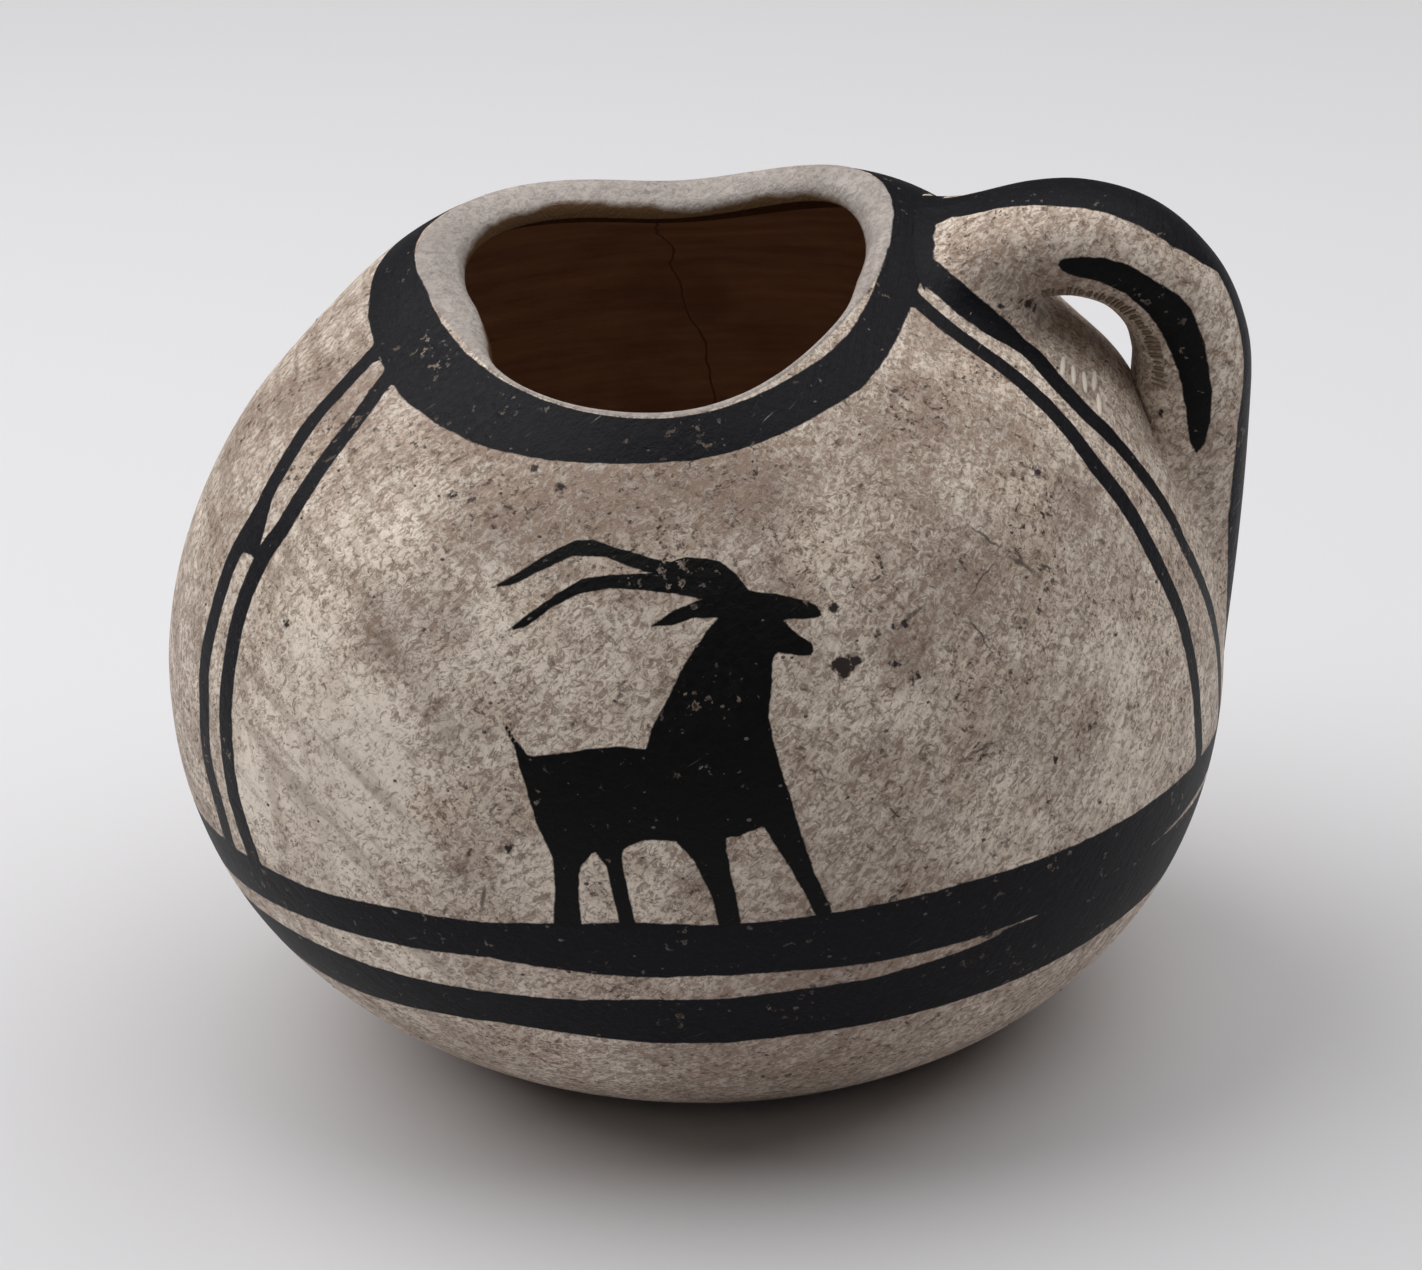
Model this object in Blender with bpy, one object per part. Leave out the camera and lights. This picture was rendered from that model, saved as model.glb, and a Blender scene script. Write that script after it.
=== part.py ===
"""One-handled clay pitcher, built course by course the way a coil potter builds it.

Frame: metres, +Z up, origin at the centre of the foot, the handle towards +X, the painted front towards -Y.
"""
import math

import bmesh
import bpy
import numpy as np

MM = 0.001

# Body shape, in millimetres: two superellipse arcs that meet at the belly.
BELLY_RADIUS = 70.0
DEPTH_RATIO = 0.92
BELLY_HEIGHT = 51.5
RIM_HEIGHT = 108.0
MOUTH_RADIUS = 32.6
HEEL_RADIUS = 34.7
FOOT_RADIUS = 30.5
SHOULDER_POWER = 1.9
BELLY_POWER = 2.2
BODY_LEAN = 2.6
LEAN_SHARE = 0.95
FLOOR_THICKNESS = 6.8
HEEL_HEIGHT = 0.9
HEEL_LENGTH = 4.0

# Clay wall and the joints between the courses.
WALL = 5.0
JOINT_GAP = 0.4
LAP = 3.0
BASE_LENGTH = 22.0
WALL_COILS = 5
LIP_OVERHANG = 1.7
CROWN_RISE = 0.6

# Outer edge of the hand-pressed lip, anticlockwise from the handle, in mouth radii from the body's axis
# and above the rim height: flat and dented on the far side, lowest at the front.
LIP_SHAPE = [
    (0.88, 0.03, 0.055), (0.82, 0.29, 0.10), (0.69, 0.51, 0.107), (0.43, 0.57, 0.052),
    (0.20, 0.60, 0.03), (-0.09, 0.66, 0.034), (-0.49, 0.63, 0.03), (-0.80, 0.52, 0.03),
    (-0.97, 0.34, 0.018), (-1.00, 0.06, -0.03), (-0.90, -0.40, -0.104), (-0.67, -0.83, -0.172),
    (-0.44, -1.08, -0.209), (-0.03, -1.20, -0.215), (0.27, -1.13, -0.184), (0.50, -0.87, -0.126),
    (0.72, -0.54, -0.055), (0.82, -0.29, -0.003),
]
LIP_CENTRE = (-0.04, -0.245)
LIP_HARMONICS = 5
LIP_BLEND_SHARE = 0.247

# Handle: its centre line stands off the wall by a share of the arch, at shares of the way down the wall.
HANDLE_ARCH = 12.9
HANDLE_ROUTE = [
    (0.037, -0.05), (0.070, 0.31), (0.104, 0.62), (0.137, 0.875), (0.176, 1.0), (0.217, 0.96),
    (0.259, 0.79), (0.304, 0.545), (0.344, 0.285), (0.381, 0.06), (0.420, -0.17),
]
HANDLE_WIDTH = 20.0
HANDLE_THICKNESS = 13.4
HANDLE_POWER = 2.1
SEAT_GAP = 0.35

# Luting: wet clay pressed round the two roots of the handle.
UPPER_LUTING_LENGTH = 17.0
UPPER_LUTING_FLARE = 8.0
UPPER_LUTING_SETBACK = 3.2
LOWER_LUTING_ROUTE = [
    (0.297, 0.585), (0.344, 0.285), (0.381, 0.06), (0.420, -0.17), (0.463, -0.39), (0.498, -0.54),
]
LOWER_LUTING_LENGTH = 22.0
LOWER_LUTING_FLARE = 4.5
LOWER_LUTING_SETBACK = 0.8
LUTING_EDGE = 1.2

AROUND = 56
SECTION_POINTS = 20
SHARP_ANGLE = math.radians(35.0)

# Linear colours of the finishes: pale slip, carbon-black paint.
SLIP_COLOUR = (0.46, 0.40, 0.34, 1.0)
PAINT_COLOUR = (0.014, 0.015, 0.017, 1.0)
CLAY_ROUGHNESS = 0.85

THETA = np.linspace(0.0, 2.0 * math.pi, AROUND, endpoint=False)


def arc_reach(height, end_radius, power):
    """Semi-height of a superellipse arc that narrows from the belly to end_radius over a height."""
    return height / (1.0 - (end_radius / BELLY_RADIUS) ** power) ** (1.0 / power)


SHOULDER_RISE = arc_reach(RIM_HEIGHT - BELLY_HEIGHT, MOUTH_RADIUS, SHOULDER_POWER)
BELLY_DROP = arc_reach(BELLY_HEIGHT, HEEL_RADIUS, BELLY_POWER)


def radius_at(height):
    """Half-width of the body in X at a height above the foot."""
    up = np.clip((height - BELLY_HEIGHT) / SHOULDER_RISE, 0.0, 1.0)
    down = np.clip((BELLY_HEIGHT - height) / BELLY_DROP, 0.0, 1.0)
    upper = (1.0 - up ** SHOULDER_POWER) ** (1.0 / SHOULDER_POWER)
    lower = (1.0 - down ** BELLY_POWER) ** (1.0 / BELLY_POWER)
    return BELLY_RADIUS * upper * lower


PROFILE_HEIGHTS = np.linspace(0.0, RIM_HEIGHT, 1200)
PROFILE_STEPS = np.hypot(np.diff(PROFILE_HEIGHTS), np.diff(radius_at(PROFILE_HEIGHTS)))
PROFILE_LENGTHS = np.concatenate([[0.0], np.cumsum(PROFILE_STEPS)])
WALL_LENGTH = float(PROFILE_LENGTHS[-1])


def lip_curve():
    """Lip edge at every THETA: a short Fourier series through the lip's points."""
    points = np.array(LIP_SHAPE)
    angles = np.arctan2(points[:, 1] - LIP_CENTRE[1], points[:, 0] - LIP_CENTRE[0])

    def terms(angle):
        columns = [np.ones_like(angle)]
        for order in range(1, LIP_HARMONICS + 1):
            columns.append(np.cos(order * angle))
            columns.append(np.sin(order * angle))
        return np.stack(columns, axis=1)

    weights = np.linalg.lstsq(terms(angles), points, rcond=None)[0]
    return terms(THETA) @ weights * MOUTH_RADIUS + np.array([-BODY_LEAN, 0.0, RIM_HEIGHT])


LIP_EDGE = lip_curve()
LIP_RISE = LIP_EDGE[:, 2] - RIM_HEIGHT


def plain_row(length):
    """Ring of the smooth body at a length up the wall, dipping with the lip but not yet pressed in."""
    level = np.interp(length, PROFILE_LENGTHS, PROFILE_HEIGHTS)
    dip = np.clip((level - BELLY_HEIGHT) / (RIM_HEIGHT - BELLY_HEIGHT), 0.0, 1.0) ** 2
    height = level + dip * LIP_RISE
    radius = radius_at(height)
    lean = -BODY_LEAN * (1.0 - np.clip(1.0 - height / (LEAN_SHARE * BELLY_HEIGHT), 0.0, 1.0) ** 2)
    x = lean + radius * np.cos(THETA)
    y = DEPTH_RATIO * radius * np.sin(THETA)
    return np.stack([x, y, height], axis=1)


LIP_SHIFT = LIP_EDGE - plain_row(WALL_LENGTH)


def outer_row(length):
    """Ring on the outside of the wall."""
    blend = np.clip(1.0 - (1.0 - length / WALL_LENGTH) / LIP_BLEND_SHARE, 0.0, 1.0)
    return plain_row(length) + blend * blend * (3.0 - 2.0 * blend) * LIP_SHIFT


def row_frame(length):
    """Outward normal and upward direction of the wall along a ring."""
    row = outer_row(length)
    along = np.roll(row, -1, axis=0) - np.roll(row, 1, axis=0)
    upward = outer_row(min(length + 0.5, WALL_LENGTH)) - outer_row(max(length - 0.5, 0.0))
    normal = np.cross(along, upward)
    normal /= np.linalg.norm(normal, axis=1)[:, None]
    upward /= np.linalg.norm(upward, axis=1)[:, None]
    return normal, upward


def inner_row(length):
    """Ring on the inside of the wall, one wall thickness in from the outside."""
    return outer_row(length) - WALL * row_frame(length)[0]


def solid(name, rows, caps):
    """Closed mesh object skinned over rings of equal length; caps closes the first and last ring."""
    mesh = bpy.data.meshes.new(name)
    shape = bmesh.new()
    rings = [[shape.verts.new(point * MM) for point in row] for row in rows]
    pairs = list(zip(rings[:-1], rings[1:]))
    if caps:
        shape.faces.new(rings[0][::-1])
        shape.faces.new(rings[-1])
    else:
        pairs.append((rings[-1], rings[0]))
    for lower, upper in pairs:
        count = len(lower)
        for index in range(count):
            following = (index + 1) % count
            shape.faces.new([lower[index], lower[following], upper[following], upper[index]])
    bmesh.ops.triangulate(shape, faces=shape.faces[:])
    bmesh.ops.recalc_face_normals(shape, faces=shape.faces[:])
    shape.to_mesh(mesh)
    shape.free()
    piece = bpy.data.objects.new(name, mesh)
    bpy.context.scene.collection.objects.link(piece)
    return piece


def cut(piece, tool):
    """Take one solid away from another with an exact boolean."""
    modifier = piece.modifiers.new("cut", "BOOLEAN")
    modifier.operation = "DIFFERENCE"
    modifier.solver = "EXACT"
    modifier.object = tool
    graph = bpy.context.evaluated_depsgraph_get()
    mesh = bpy.data.meshes.new_from_object(piece.evaluated_get(graph))
    piece.modifiers.clear()
    piece.data = mesh


def finish(piece, colour):
    """Smooth shading and the piece's own fired-clay material."""
    piece.data.shade_smooth()
    piece.data.set_sharp_from_angle(angle=SHARP_ANGLE)
    clay = bpy.data.materials.new(piece.name + "_clay")
    clay.use_nodes = True
    shader = clay.node_tree.nodes["Principled BSDF"]
    shader.inputs["Base Color"].default_value = colour
    shader.inputs["Roughness"].default_value = CLAY_ROUGHNESS
    shader.inputs["Metallic"].default_value = 0.0
    piece.data.materials.clear()
    piece.data.materials.append(clay)


def catmull(points, count):
    """Smooth curve through 2-D points, evenly spaced."""
    points = np.array(points)
    padded = np.vstack([2 * points[0] - points[1], points, 2 * points[-1] - points[-2]])
    curve = []
    for index in range(len(points) - 1):
        p0, p1, p2, p3 = padded[index:index + 4]
        for t in np.linspace(0.0, 1.0, 20, endpoint=False):
            bend = (2 * p0 - 5 * p1 + 4 * p2 - p3) * t ** 2 + (3 * p1 - p0 - 3 * p2 + p3) * t ** 3
            curve.append(0.5 * (2 * p1 + (p2 - p0) * t + bend))
    curve = np.array(curve + [points[-1]])
    lengths = np.concatenate([[0.0], np.cumsum(np.linalg.norm(np.diff(curve, axis=0), axis=1))])
    even = np.linspace(0.0, lengths[-1], count)
    return np.stack([np.interp(even, lengths, curve[:, axis]) for axis in (0, 1)], axis=1), even


def along_wall(route):
    """Points in the XZ plane that stand off the handle's side of the wall."""
    points = []
    for share, height in route:
        length = WALL_LENGTH * (1.0 - share)
        row = outer_row(length)[0]
        normal = row_frame(length)[0][0]
        flat = np.array([normal[0], normal[2]]) / math.hypot(normal[0], normal[2])
        points.append(np.array([row[0], row[2]]) + HANDLE_ARCH * height * flat)
    return points


def strap_rows(path, count, width, top, bottom):
    """Superellipse sections along a path; width, top and bottom give each section's reach by length."""
    centres, lengths = catmull(path, count)
    tangents = np.gradient(centres, axis=0)
    tangents /= np.linalg.norm(tangents, axis=1)[:, None]
    angles = np.linspace(0.0, 2.0 * math.pi, SECTION_POINTS, endpoint=False)
    side = np.sign(np.cos(angles)) * np.abs(np.cos(angles)) ** (2.0 / HANDLE_POWER)
    rise = np.sign(np.sin(angles)) * np.abs(np.sin(angles)) ** (2.0 / HANDLE_POWER)
    rows = []
    for centre, tangent, length in zip(centres, tangents, lengths):
        reach = np.where(rise > 0.0, top(length), bottom(length)) * rise
        x = centre[0] - tangent[1] * reach
        z = centre[1] + tangent[0] * reach
        rows.append(np.stack([x, 0.5 * width(length) * side, z], axis=1))
    return rows


def course(name, start, end):
    """One flattened coil with bevelled lap joints above and below."""
    steps = np.linspace(start, end, 4)
    rows = [outer_row(length) for length in steps]
    rows += [inner_row(length + LAP) for length in steps[::-1]]
    return solid(name, rows, False)


def base_pat(name, end):
    """Moulded base: a flat foot, a rounded heel and the lowest part of the wall."""
    foot = outer_row(0.0) * (FOOT_RADIUS / radius_at(0.0))
    heel = 0.5 * (foot + outer_row(HEEL_LENGTH))
    heel[:, 2] = HEEL_HEIGHT
    rows = [foot * 0.5, foot, heel]
    rows += [outer_row(length) for length in np.linspace(HEEL_LENGTH, end, 5)]
    rows += [inner_row(length) for length in np.linspace(end + LAP, WALL, 5)]
    floor = inner_row(WALL)
    for share, rise in ((0.72, 0.35), (0.36, 0.08)):
        ring = floor * share
        ring[:, 2] = FLOOR_THICKNESS + rise * (floor[:, 2].mean() - FLOOR_THICKNESS)
        rows.append(ring)
    return solid(name, rows, True)


def rim_coil(name, start):
    """Last coil, thickened at the top into the bevelled, dented lip."""
    edge = outer_row(WALL_LENGTH)
    normal, upward = row_frame(WALL_LENGTH)
    lip_in = edge + LIP_OVERHANG * upward - WALL * normal
    crown = 0.7 * edge + 0.3 * lip_in
    crown[:, 2] += CROWN_RISE
    bevel = 0.3 * edge + 0.7 * lip_in
    bevel[:, 2] += CROWN_RISE * 0.8
    steps = np.linspace(start, WALL_LENGTH, 6)
    rows = [outer_row(length) for length in steps]
    rows += [crown, bevel, lip_in]
    rows += [inner_row(length) for length in np.linspace(WALL_LENGTH - 1.0, start + LAP, 5)]
    return solid(name, rows, False)


def body_envelope():
    """Filled body, grown by the seat gap, that cuts the handle pieces to sit on the wall."""
    rows = []
    for length in np.linspace(0.22 * WALL_LENGTH, WALL_LENGTH, 24):
        rows.append(outer_row(length) + SEAT_GAP * row_frame(length)[0])
    return solid("envelope", rows, True)


def build():
    for item in list(bpy.data.objects):
        bpy.data.objects.remove(item, do_unlink=True)

    seams = np.linspace(BASE_LENGTH, WALL_LENGTH, WALL_COILS + 2)[:-1]
    pieces = [base_pat("base_pat", seams[0])]
    for number in range(WALL_COILS):
        pieces.append(course(f"wall_coil_{number + 1}", seams[number] + JOINT_GAP, seams[number + 1]))
    pieces.append(rim_coil("rim_coil", seams[-1] + JOINT_GAP))

    def constant(value):
        return lambda length: value

    half = 0.5 * HANDLE_THICKNESS
    path = along_wall(HANDLE_ROUTE)
    strap = solid("handle_strap", strap_rows(
        path, 24, constant(HANDLE_WIDTH), constant(half), constant(half)), True)
    room_rings = strap_rows(
        path, 24, constant(HANDLE_WIDTH + 2.0 * SEAT_GAP), constant(half + SEAT_GAP), constant(half + SEAT_GAP))
    end_step = room_rings[-1].mean(axis=0) - room_rings[-2].mean(axis=0)
    room_rings[-1] = room_rings[-1] + end_step * (SEAT_GAP / np.linalg.norm(end_step))
    room_rings[0] = room_rings[0] - np.array([SEAT_GAP, 0.0, 0.0])
    room = solid("strap_room", room_rings, True)
    envelope = body_envelope()
    cut(strap, envelope)
    pieces.append(strap)

    def upper_flare(length):
        share = np.clip(1.0 - length / UPPER_LUTING_LENGTH, 0.0, 1.0)
        return LUTING_EDGE + UPPER_LUTING_FLARE * share ** 2

    fine_path, fine_lengths = catmull(path, 80)
    upper_path = fine_path[fine_lengths < UPPER_LUTING_LENGTH][::3]
    upper = solid("handle_upper_luting", strap_rows(
        upper_path, 9, lambda length: HANDLE_WIDTH + 2.0 * upper_flare(length),
        constant(half - UPPER_LUTING_SETBACK), lambda length: half + upper_flare(length)), True)

    def lower_flare(length):
        return LUTING_EDGE + LOWER_LUTING_FLARE * np.clip(length / LOWER_LUTING_LENGTH, 0.0, 1.0) ** 1.5

    lower = solid("handle_lower_luting", strap_rows(
        along_wall(LOWER_LUTING_ROUTE), 13, lambda length: HANDLE_WIDTH + 2.0 * lower_flare(length),
        constant(half - LOWER_LUTING_SETBACK), constant(half + LUTING_EDGE)), True)
    for luting in (upper, lower):
        cut(luting, envelope)
        cut(luting, room)
        pieces.append(luting)

    for tool in (room, envelope):
        bpy.data.objects.remove(tool, do_unlink=True)
    for piece in pieces:
        finish(piece, PAINT_COLOUR if piece.name == "rim_coil" else SLIP_COLOUR)


build()
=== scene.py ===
# %% [markdown]
# # A coil-built clay pitcher with a painted goat
# The pitcher is a round clay jar with a hand-pressed lip and one arched handle. It was covered with a pale
# slip, which is clay thinned with water, and painted with a black made from plant juice and soot. The solids
# of the frame show the coils it was built from. On the fired pot the coils are scraped and slipped over, so
# here each finish becomes one continuous skin that stands for the solids under it.

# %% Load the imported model
import math

import bpy
import numpy as np
from mathutils import Matrix, Vector
from mathutils.bvhtree import BVHTree


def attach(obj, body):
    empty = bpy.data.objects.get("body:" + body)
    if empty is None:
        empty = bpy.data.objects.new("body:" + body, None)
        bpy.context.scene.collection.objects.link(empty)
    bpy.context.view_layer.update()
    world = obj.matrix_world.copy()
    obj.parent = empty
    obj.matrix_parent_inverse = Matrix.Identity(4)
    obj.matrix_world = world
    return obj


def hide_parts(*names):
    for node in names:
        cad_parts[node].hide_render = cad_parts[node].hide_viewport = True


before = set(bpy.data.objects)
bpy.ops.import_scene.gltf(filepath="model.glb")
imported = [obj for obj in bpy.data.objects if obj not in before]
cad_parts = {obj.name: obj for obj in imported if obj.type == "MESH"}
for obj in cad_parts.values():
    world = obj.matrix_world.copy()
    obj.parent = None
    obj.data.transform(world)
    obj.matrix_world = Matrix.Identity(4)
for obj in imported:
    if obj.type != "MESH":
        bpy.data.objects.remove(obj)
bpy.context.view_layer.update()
MM = 0.001
print("nodes:", sorted(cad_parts))

# %% [markdown]
# ## The camera
# The photograph was taken from about 25 degrees above the table with a long lens, turned a little to one
# side. A camera is a place and three directions, so the matrix is written from those angles and not by aiming
# a constraint. The same numbers place the painted figures, because they were read through this camera.

# %% Place the camera
ELEVATION = math.radians(25.06)
ROLL = math.radians(-3.32)
DISTANCE = 700.0 * MM
TARGET = Vector((-0.6, 0.0, 52.7)) * MM

forward = Vector((0.0, math.cos(ELEVATION), -math.sin(ELEVATION)))
level = Vector((1.0, 0.0, 0.0))
upright = level.cross(forward)
right = math.cos(ROLL) * level + math.sin(ROLL) * upright
above = -math.sin(ROLL) * level + math.cos(ROLL) * upright
lens = bpy.data.cameras.new("photo_camera")
lens.sensor_width = 36.0
lens.lens = 133.2
camera = bpy.data.objects.new("photo_camera", lens)
camera.matrix_world = Matrix.Translation(TARGET - DISTANCE * forward) @ Matrix(
    (right, above, -forward)).transposed().to_4x4()
scene = bpy.context.scene
scene.collection.objects.link(camera)
scene.camera = camera
scene.view_settings.view_transform = "Standard"
print("camera at", [round(v, 3) for v in camera.location])

# %% [markdown]
# ## Two small helpers
# Every node here is made by one function: it adds the node, sets its properties and fills its sockets, each
# with a value or with a link. A second function turns the hex colours that painters use into the linear
# numbers that shaders use.


# %% Helpers for nodes and colours
def add(tree, kind, sockets=None, **settings):
    """Add a node: settings are its properties; sockets are its inputs, as values, outputs or whole nodes."""
    node = tree.nodes.new(kind)
    for name, value in settings.items():
        setattr(node, name, value)
    for key, value in (sockets or {}).items():
        if isinstance(value, bpy.types.Node):
            value = value.outputs[0]
        if isinstance(value, bpy.types.NodeSocket):
            tree.links.new(value, node.inputs[key])
        else:
            node.inputs[key].default_value = value
    return node


def linear(hex_colour):
    """Linear RGBA of an sRGB hex colour such as #C4B7A8."""
    channels = [int(hex_colour[i:i + 2], 16) / 255.0 for i in (1, 3, 5)]
    return tuple(c / 12.92 if c <= 0.04045 else ((c + 0.055) / 1.055) ** 2.4 for c in channels) + (1.0,)


MATH = "ShaderNodeMath"
VECTOR_MATH = "ShaderNodeVectorMath"
NOISE = "ShaderNodeTexNoise"
print("pale paper, linear:", [round(v, 3) for v in linear("#E2E1E3")])

# %% [markdown]
# ## The body: a flat sheet that nodes bend into a pot
# The body follows a rule: from the side it is two superellipse arcs that meet at the belly, and from above
# it is an ellipse, a little shallower than it is wide. Towards the rim the wall dips with the lip, and over
# the last 34 mm the potter pressed the clay into a D with a dent at the back. A lathe profile could make the
# round part, but not the dip and the pressing. So a sheet of points carries only its angle, its height and
# how far it is pressed, and a Geometry Nodes tree turns these into places. The same tree makes the inside,
# set in by the thickness of the wall, and gives both the slight unevenness of a hand-scraped wall.

# %% Sizes of the body, in millimetres
BELLY_RADIUS = 70.0
DEPTH_RATIO = 0.92
BELLY_HEIGHT = 51.5
RIM_HEIGHT = 108.0
MOUTH_RADIUS = 32.6
HEEL_RADIUS = 34.7
FOOT_SHARE = 30.5 / HEEL_RADIUS
SHOULDER_POWER = 1.9
BELLY_POWER = 2.2
BODY_LEAN = 2.6
LEAN_HEIGHT = 49.0
PRESSED_LENGTH = 34.0
WALL = 5.0
FLOOR = 6.8
FLOOR_BLEND = 12.0
# Points of the lip's edge, across, deep and up from the rim's middle, in mouth radii.
LIP_SHAPE = [
    (0.88, 0.03, 0.075), (0.82, 0.29, 0.128), (0.69, 0.51, 0.133), (0.43, 0.57, 0.08),
    (0.20, 0.60, 0.052), (-0.09, 0.66, 0.06), (-0.49, 0.63, 0.056), (-0.80, 0.52, 0.056),
    (-0.97, 0.34, 0.042), (-1.00, 0.06, -0.02), (-0.90, -0.40, -0.104), (-0.67, -0.83, -0.172),
    (-0.44, -1.08, -0.209), (-0.03, -1.20, -0.215), (0.27, -1.13, -0.184), (0.50, -0.87, -0.126),
    (0.72, -0.54, -0.055), (0.82, -0.29, -0.003),
]
# The series goes round this centre.
LIP_CENTRE = (-0.04, -0.245)
LIP_HARMONICS = 5
# Share of the heel's radius, and height, of the rings of the foot and the soft heel.
FOOT_RINGS = [(0.3, 0.0), (0.6, 0.0), (FOOT_SHARE, 0.0), (0.915, 0.25), (0.955, 0.8), (0.985, 1.7)]
HEEL_LENGTH = 4.0
# Swelling of the wall under the handle: how much, which way, and its height and half-sizes.
PAD_HEIGHT = 1.5
PAD_WAY = np.array([0.76, 0.0, 0.65])
PAD_LEVEL = 90.5
PAD_HALF_HEIGHT = 7.0
PAD_HALF_ANGLE = 0.18
print("body, mm:", 2.0 * BELLY_RADIUS, "wide, rim at", RIM_HEIGHT)


# %% The rule of its outline
def arc_reach(height, end_radius, power):
    """Semi-height of the superellipse arc that narrows from the belly to end_radius over a height."""
    return height / (1.0 - (end_radius / BELLY_RADIUS) ** power) ** (1.0 / power)


SHOULDER_RISE = arc_reach(RIM_HEIGHT - BELLY_HEIGHT, MOUTH_RADIUS, SHOULDER_POWER)
BELLY_DROP = arc_reach(BELLY_HEIGHT, HEEL_RADIUS, BELLY_POWER)


def radius_at(height):
    """Half-width of the body in X at a height."""
    up = np.clip((height - BELLY_HEIGHT) / SHOULDER_RISE, 0.0, 1.0)
    down = np.clip((BELLY_HEIGHT - height) / BELLY_DROP, 0.0, 1.0)
    upper = (1.0 - up ** SHOULDER_POWER) ** (1.0 / SHOULDER_POWER)
    return BELLY_RADIUS * upper * (1.0 - down ** BELLY_POWER) ** (1.0 / BELLY_POWER)


LEVELS = np.linspace(0.0, RIM_HEIGHT, 1200)
LENGTHS = np.append(0.0, np.cumsum(np.hypot(np.diff(LEVELS), np.diff(radius_at(LEVELS)))))
WALL_LENGTH = LENGTHS[-1]
print("arc heights:", round(SHOULDER_RISE, 1), round(BELLY_DROP, 1), "wall length:", round(WALL_LENGTH, 1))


# %% The edge of the pressed lip
def harmonics(angle):
    """Columns of a Fourier series at these angles."""
    columns = [np.ones_like(angle)]
    for order in range(1, LIP_HARMONICS + 1):
        columns.append(np.cos(order * angle))
        columns.append(np.sin(order * angle))
    return np.stack(columns, axis=-1)


def lip_line(theta):
    """Edge of the lip, in millimetres: a short Fourier series through the lip's points."""
    points = np.array(LIP_SHAPE)
    angles = np.arctan2(points[:, 1] - LIP_CENTRE[1], points[:, 0] - LIP_CENTRE[0])
    weights = np.linalg.lstsq(harmonics(angles), points, rcond=None)[0]
    return harmonics(theta) @ weights * MOUTH_RADIUS + np.array([-BODY_LEAN, 0.0, RIM_HEIGHT])


def smooth_step(value):
    """Soft ramp from 0 to 1."""
    value = np.clip(value, 0.0, 1.0)
    return value * value * (3.0 - 2.0 * value)


print("lip at the back, mm:", np.round(lip_line(np.array([math.pi / 2]))[0], 1).tolist())


# %% Meshes from arrays
def keep_on_points(mesh, values_by_name, kind="FLOAT", field="value"):
    """Store named values on the points of a mesh."""
    for key, values in values_by_name.items():
        layer = mesh.attributes.new(key, kind, "POINT")
        layer.data.foreach_set(field, np.ravel(values).astype(np.float32))


def mesh_object(name, points, faces, numbers=None, vectors=None):
    """Mesh object from points in millimetres, with named point attributes."""
    mesh = bpy.data.meshes.new(name)
    mesh.from_pydata((np.asarray(points) * MM).tolist(), [], faces)
    keep_on_points(mesh, numbers or {})
    keep_on_points(mesh, vectors or {}, "FLOAT_VECTOR", "vector")
    item = bpy.data.objects.new(name, mesh)
    scene.collection.objects.link(item)
    return item


def tube_faces(rows, columns, pole):
    """Quads of a tube of rings; with pole the first point closes the tube under ring 0."""
    start = 1 if pole else 0
    faces = []
    for column in range(columns):
        following = (column + 1) % columns
        if pole:
            faces.append((0, start + following, start + column))
        for row in range(rows - 1):
            low = start + row * columns
            high = low + columns
            faces.append((low + column, low + following, high + following, high + column))
    return faces


def crowded(start, end, count, centres, half_width, crowding, closed):
    """Numbers from start to end that lie closer together near the centres."""
    fine = np.linspace(start, end, 4001)
    near = np.min([np.abs(fine - centre) for centre in centres], axis=0)
    density = 1.0 + crowding * smooth_step((half_width - near) / (0.25 * half_width) + 0.5)
    total = np.append(0.0, np.cumsum(0.5 * (density[1:] + density[:-1])))
    return np.interp(np.linspace(0.0, total[-1], count, endpoint=not closed), total, fine)


print("faces of a tube of 3 rings of 8 points:", len(tube_faces(3, 8, False)))


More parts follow.
